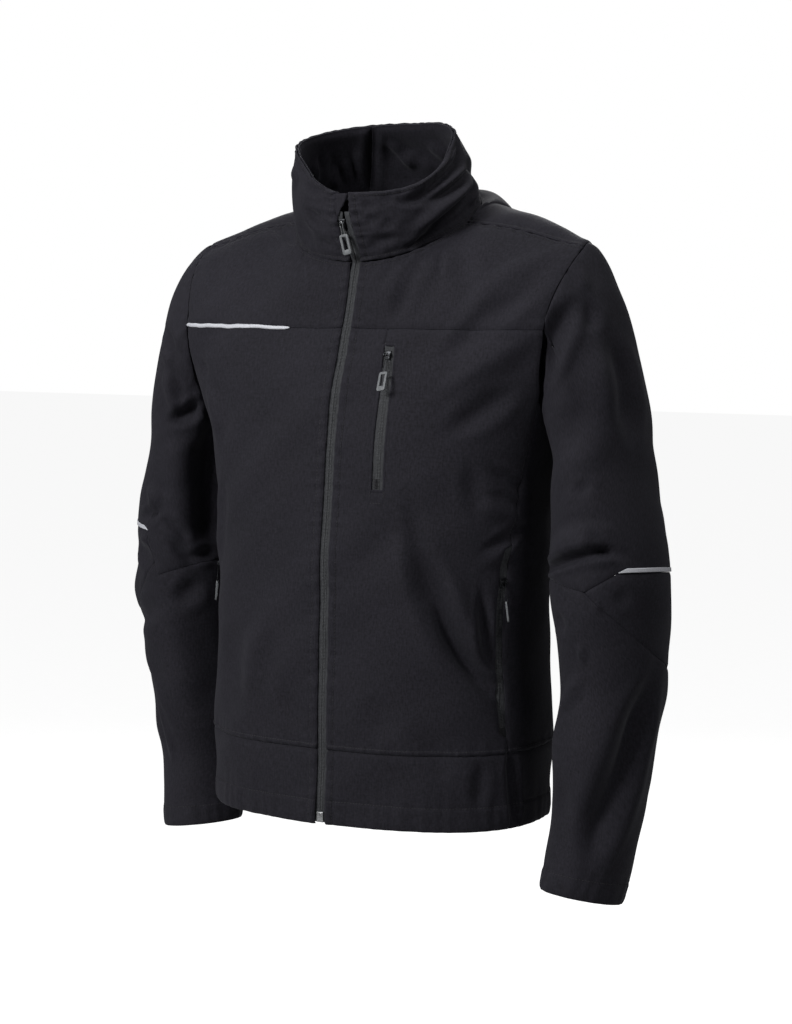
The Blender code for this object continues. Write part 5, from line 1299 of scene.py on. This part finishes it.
# rounded bits along each run, or across it in rows
def addBits(name, runs, slot, look, pitch, length, radius, lift, sag=0.0, rows=()):
    vertices, faces = [], []
    turns = np.linspace(0, 2 * math.pi, bitSides, endpoint=False)
    for line, outs in runs:
        run = runLength(line)
        for bit in range(int(run[-1] / pitch)):
            middle = (bit + 0.5) * pitch
            ends = np.clip([middle - bitReach, middle + bitReach], 0, run[-1])
            a, b = [readLine(end, run, line) for end in ends]
            out = unit(readLine(middle, run, outs))
            way = unit(b - a)
            side = np.cross(way, out)
            centre = (a + b) / 2 + out * lift
            laid = [(centre + side * row, side, -way) for row in rows] if rows else [(centre, way, side)]
            for middle, along, beside in laid:
                faces += bitFaces(len(vertices))
                for place, thick in bitRings:
                    ring = middle + along * place * length - out * sag * (2 * abs(place)) ** 2
                    vertices += [ring + (beside * math.cos(turn) + out * math.sin(turn)) * radius * thick
                                 for turn in turns]
    bits = newMesh(name, vertices, faces)
    bits.data.shade_smooth()
    dress(bits, "jacket", look)
    print(name + ":", len(vertices) // (len(bitRings) * bitSides))


addBits("sewing", stitchRuns, "cloth", "thread", **sewing)
tackRuns = []
for line, z in zip(zipRuns[1:], (slotLow, handPocket["bottom"], handPocket["bottom"])):
    line = line[(line[:, 2] > z - tackReach["below"]) & (line[:, 2] < z + tackReach["above"])]
    turn = math.atan2(line[0, 0], -line[0, 1])
    tackRuns.append((line, np.repeat([[math.sin(turn), -math.cos(turn), 0.0]], len(line), axis=0)))
addBits("bar_tacks", tackRuns, "cloth", "thread", **tack)

chestSliderZ = chestSlot["top"] - chestSlot["sliderDrop"]
pocketSliderZ = handPocket["top"] - handPocket["sliderDrop"]
pocketAngle = seamAngle(pocketSliderZ, -handPocket["open"] / 2)


def collarPlace():
    step = 0.1
    low = collarPoint(0.0, zipper["sliderHeight"] - step)
    high = collarPoint(0.0, zipper["sliderHeight"] + step)
    up = unit(high - low)
    across = np.array([1.0, 0.0, 0.0])
    return (low + high) / 2, across, up, np.cross(across, up)


zips = [  # each pull hangs loose: degrees it leans aside, stands out from the cloth and is twisted
    {"slider": "zip_slider", "pull": "zip_pull", "body": "main_pull", "place": collarPlace(), "link": 0.0115,
     "lean": 13, "out": 4, "twist": 0, "linkLook": "linkMetal"},
    {"slider": "chest_zip_slider", "pull": "chest_zip_pull", "body": "chest_pull",
     "place": torsoPlace(float(angleAtX(chestSlot["x"], chestSliderZ)), chestSliderZ), "link": 0.0200,
     "lean": 4, "out": 13, "twist": -10, "linkLook": "darkMetal"},
    {"slider": "pocket_zip_slider_left", "pull": "pocket_zip_pull_left", "body": "pocket_pull_left",
     "place": torsoPlace(pocketAngle, pocketSliderZ), "link": 0.0200,
     "lean": 0, "out": 11, "twist": 55, "linkLook": "darkMetal"},
    {"slider": "pocket_zip_slider_right", "pull": "pocket_zip_pull_right", "body": "pocket_pull_right",
     "place": torsoPlace(-pocketAngle, pocketSliderZ), "link": 0.0200,
     "lean": 0, "out": 4, "twist": 0, "linkLook": "darkMetal"},
]
toothRuns = []
for line, item in zip(zipRuns, zips):
    line = line[line[:, 2] < item["place"][0][2] - zipper["teethBelow"]]
    line = line[np.argsort(-line[:, 2])]
    out = torsoPlace(0.0, -0.3)[3] if item["slider"] == "zip_slider" else item["place"][3]
    toothRuns.append((line, np.repeat([out], len(line), axis=0)))
addBits("zip_teeth", toothRuns, "tape", "zipCoil", **teeth)

# sliders, pulls and the end of the front zip
sliderShape = {"halfWidth": 0.0040, "length": 0.0095, "base": 0.0026, "taper": 0.74, "soft": 0.0008,
               "axis": 0.0016, "seat": -0.0025}  # seat: the CAD depth of its base below the cloth's face
ear = {"width": 0.0010, "length": 0.00475, "height": 0.0030, "sunk": 0.0003, "taper": 0.62, "soft": 0.0004}
pin = {"radius": 0.00060, "short": 0.0004, "soft": 0.0002}
pullShape = {"thick": 0.0018, "halfWidth": 0.0051, "tab": 0.0212, "windowHalf": 0.0026, "windowBottom": 0.0051,
             "windowSlack": 0.0002, "corner": 0.0022, "soft": 0.00045}
link = {"half": 0.0014, "wire": 0.00045, "eye": 0.0013, "shoulder": 0.6, "side": 0.0016, "bottom": 0.0028,
        "bow": 0.0001}
stopShape = {"size": (0.0080, 0.0018, 0.0110), "proud": 0.0006, "rise": 0.0075, "soft": 0.0006}


def placeMatrix(place, height):  # local x across the zip, y up along it, z out of the cloth
    point, across, up, out = place
    rotation = Matrix(np.column_stack([across, up, out]).tolist()).to_4x4()
    return Matrix.Translation(Vector((point + out * height).tolist())) @ rotation


def applyMove(piece):  # the move goes into the mesh
    pick(piece)
    bpy.ops.object.transform_apply(location=True, rotation=True, scale=True)
    return piece


def boxPart(size, centre):
    bpy.ops.mesh.primitive_cube_add(size=1, location=centre)
    part = bpy.context.active_object
    part.scale = size
    return applyMove(part)


def joined(parts, name):
    bpy.ops.object.select_all(action="DESELECT")
    for part in parts:
        part.select_set(True)
    bpy.context.view_layer.objects.active = parts[0]
    bpy.ops.object.join()
    whole = bpy.context.active_object
    whole.name = name
    whole.data.name = name
    return whole


def softEdges(piece, width, segments=3):
    bevel = piece.modifiers.new("bevel", "BEVEL")
    bevel.width = width
    bevel.segments = segments
    bevel.limit_method = "ANGLE"
    bevel.angle_limit = math.radians(40)
    applyAll(piece)
    bpy.ops.object.shade_smooth_by_angle(angle=math.radians(35))
    return piece


def seat(piece, matrix):  # put a part made at the origin in its place
    piece.matrix_world = matrix
    applyMove(piece)


def makeSlider(name):
    size = sliderShape
    width = 2 * size["halfWidth"]
    base = boxPart((width, size["length"], size["base"]), (0, 0, size["base"] / 2))
    for vertex in base.data.vertices:  # narrows to the closed side of the zip
        if vertex.co.y < 0:
            vertex.co.x *= size["taper"]
    parts = [softEdges(base, size["soft"])]
    earMiddle = size["base"] + ear["height"] / 2 - ear["sunk"]
    for way in (-1, 1):
        centre = (way * (size["halfWidth"] - ear["width"] / 2), 0, earMiddle)
        part = boxPart((ear["width"], ear["length"], ear["height"]), centre)
        for vertex in part.data.vertices:  # narrows to its top
            if vertex.co.z > earMiddle:
                vertex.co.y *= ear["taper"]
        parts.append(softEdges(part, ear["soft"]))
    middle = (0, 0, size["base"] + size["axis"])
    bpy.ops.mesh.primitive_cylinder_add(vertices=16, radius=pin["radius"], depth=width - pin["short"],
                                        location=middle, rotation=(0, math.pi / 2, 0))
    parts.append(softEdges(applyMove(bpy.context.active_object), pin["soft"], 2))
    return joined(parts, name)


def wireLoop(points, radius, name):
    curve = bpy.data.curves.new(name, "CURVE")
    curve.dimensions = "3D"
    curve.bevel_depth = radius
    curve.bevel_resolution = 3
    curve.resolution_u = 6
    spline = curve.splines.new("BEZIER")
    spline.bezier_points.add(len(points) - 1)
    for knot, point in zip(spline.bezier_points, points):
        knot.co = point
        knot.handle_left_type = knot.handle_right_type = "AUTO"
    spline.use_cyclic_u = True
    loop = bpy.data.objects.new(name, curve)
    bpy.context.scene.collection.objects.link(loop)
    pick(loop)
    bpy.ops.object.convert(target="MESH")
    bpy.ops.object.shade_smooth()
    return bpy.context.active_object


def makeTab(name, top):  # a rounded frame round a window
    size = pullShape
    middle = top - size["tab"] / 2
    bpy.ops.mesh.primitive_plane_add(size=1, location=(0, middle, 0))
    tab = bpy.context.active_object
    tab.name = name
    tab.scale = (2 * size["halfWidth"], size["tab"], 1)
    applyMove(tab)
    bpy.ops.object.mode_set(mode="EDIT")
    bpy.ops.mesh.select_all(action="SELECT")
    bpy.ops.mesh.bevel(offset=size["corner"], segments=5, affect="VERTICES")
    bpy.ops.mesh.select_all(action="SELECT")
    bpy.ops.mesh.inset(thickness=size["halfWidth"] - size["windowHalf"])
    bpy.ops.mesh.delete(type="FACE")
    bpy.ops.object.mode_set(mode="OBJECT")
    for vertex in tab.data.vertices:  # the frame is deeper below the window
        inside = abs(vertex.co.x) < size["windowHalf"] + size["windowSlack"]
        if inside and vertex.co.y < middle:
            vertex.co.y = max(vertex.co.y, top - size["tab"] + size["windowBottom"])
    solid = tab.modifiers.new("thick", "SOLIDIFY")
    solid.thickness = size["thick"]
    solid.offset = 0
    return softEdges(tab, size["soft"])


def makeLink(name, top):  # a wire loop from the pin down through the tab's window
    half, eye, side = link["half"], link["eye"], top - link["side"]
    points = [(-half * link["shoulder"], eye, 0), (half * link["shoulder"], eye, 0), (half, 0, 0),
              (half, top * 0.5, link["bow"]), (half, side, 0), (0, top - link["bottom"], 0), (-half, side, 0),
              (-half, top * 0.5, link["bow"]), (-half, 0, 0)]
    return wireLoop(points, link["wire"], name)


for item in zips:
    slider = makeSlider(item["slider"] + "_metal")
    seat(slider, placeMatrix(item["place"], sliderShape["seat"]))
    dress(slider, "jacket", "darkMetal")
    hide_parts(item["slider"])
    tab = makeTab(item["pull"] + "_tab", -item["link"])
    loop = makeLink(item["pull"] + "_tab_link", -item["link"])
    matrix = placeMatrix(item["place"], sliderShape["seat"] + sliderShape["base"] + sliderShape["axis"])
    swing = Matrix.Rotation(math.radians(item["lean"]), 4, "Z")
    swing = swing @ Matrix.Rotation(math.radians(-item["out"]), 4, "X")
    seat(tab, matrix @ swing @ Matrix.Rotation(math.radians(item["twist"]), 4, "Y"))
    seat(loop, matrix @ swing)
    dress(tab, item["body"], "pullTab")
    dress(loop, item["body"], item["linkLook"])
    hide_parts(item["pull"])
stopFace = min(face[:4, 0, 1].min() for face in tapeFaces.values())
stop = boxPart(stopShape["size"], (0, stopFace - stopShape["proud"], heights["hem"] + stopShape["rise"]))
stop.name = "zip_end_metal"
softEdges(stop, stopShape["soft"])
dress(stop, "jacket", "zipStop")
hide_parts("zip_end")
print("sliders and pulls placed")

# camera at the photo's angle, soft studio light, pale floor
lights = [
    {"name": "key", "along": 1.75, "across": -1.95, "up": 1.5, "size": 0.9, "power": 61.5},
    {"name": "top", "along": 0.1, "across": -0.2, "up": 2.2, "size": 0.8, "power": 11.0},
    {"name": "fill", "along": 2.7, "across": 0.3, "up": 0.2, "size": 1.2, "power": 1.6},
    {"name": "side", "along": 1.4, "across": 1.2, "up": 2.0, "size": 0.6, "power": 13.0},
    {"name": "left", "along": 0.3, "across": -2.4, "up": 0.7, "size": 0.8, "power": 9.0},
    {"name": "back", "along": -2.2, "across": 0.2, "up": 1.2, "size": 1.0, "power": 26.0},
    {"name": "rim", "along": -0.5, "across": 1.8, "up": 1.7, "size": 0.6, "power": 5.0},
]
studio = {"dim": 0.035, "bright": 1.0, "floorSize": 30, "floorZ": -1.15, "floorGlow": (0.92, 0.92, 0.92, 1)}
levelBack = Vector((math.sin(view["azimuth"]), -math.cos(view["azimuth"]), 0))
rightWay = Vector((math.cos(view["azimuth"]), math.sin(view["azimuth"]), 0))
backWay = levelBack * math.cos(view["elevation"]) + Vector((0, 0, math.sin(view["elevation"])))
target = rightWay * view["shift"] + Vector((0, 0, view["height"]))
lens = bpy.data.cameras.new("camera")
lens.sensor_fit = "VERTICAL"
lens.sensor_height = view["sensor"]
lens.lens = view["lens"]
camera = bpy.data.objects.new("camera", lens)
camera.location = target + backWay * view["distance"]
camera.rotation_euler = backWay.to_track_quat("Z", "Y").to_euler()
bpy.context.scene.collection.objects.link(camera)
bpy.context.scene.camera = camera
bpy.context.scene.view_settings.view_transform = "Standard"
for item in lights:
    light = bpy.data.lights.new(item["name"], "AREA")
    light.energy = item["power"]
    light.size = item["size"]
    lamp = bpy.data.objects.new(item["name"], light)
    lamp.location = target + levelBack * item["along"] + rightWay * item["across"] + Vector((0, 0, item["up"]))
    lamp.rotation_euler = (lamp.location - target).to_track_quat("Z", "Y").to_euler()
    bpy.context.scene.collection.objects.link(lamp)
world = bpy.data.worlds.new("studio")
bpy.context.scene.world = world
world.use_nodes = True
sky = world.node_tree
sight = addNode(sky, "ShaderNodeLightPath", {}).outputs["Is Camera Ray"]
power = {"Value": sight, "To Min": studio["dim"], "To Max": studio["bright"]}  # white to see, dim as a light
strength = addNode(sky, "ShaderNodeMapRange", power).outputs[0]
feed(sky, sky.nodes["Background"], {"Strength": strength, "Color": (1.0, 1.0, 1.0, 1)})
bpy.ops.mesh.primitive_plane_add(size=studio["floorSize"], location=(0, 0, studio["floorZ"]))
floor = bpy.context.active_object
floor.name = "floor"
floorTree = looks["paleFloor"].node_tree
sight = addNode(floorTree, "ShaderNodeLightPath", {}).outputs["Is Camera Ray"]
feed(floorTree, floorTree.nodes["Principled BSDF"],
     {"Emission Strength": sight, "Emission Color": studio["floorGlow"]})
floor.data.materials.append(looks["paleFloor"])
print("camera and lights set")
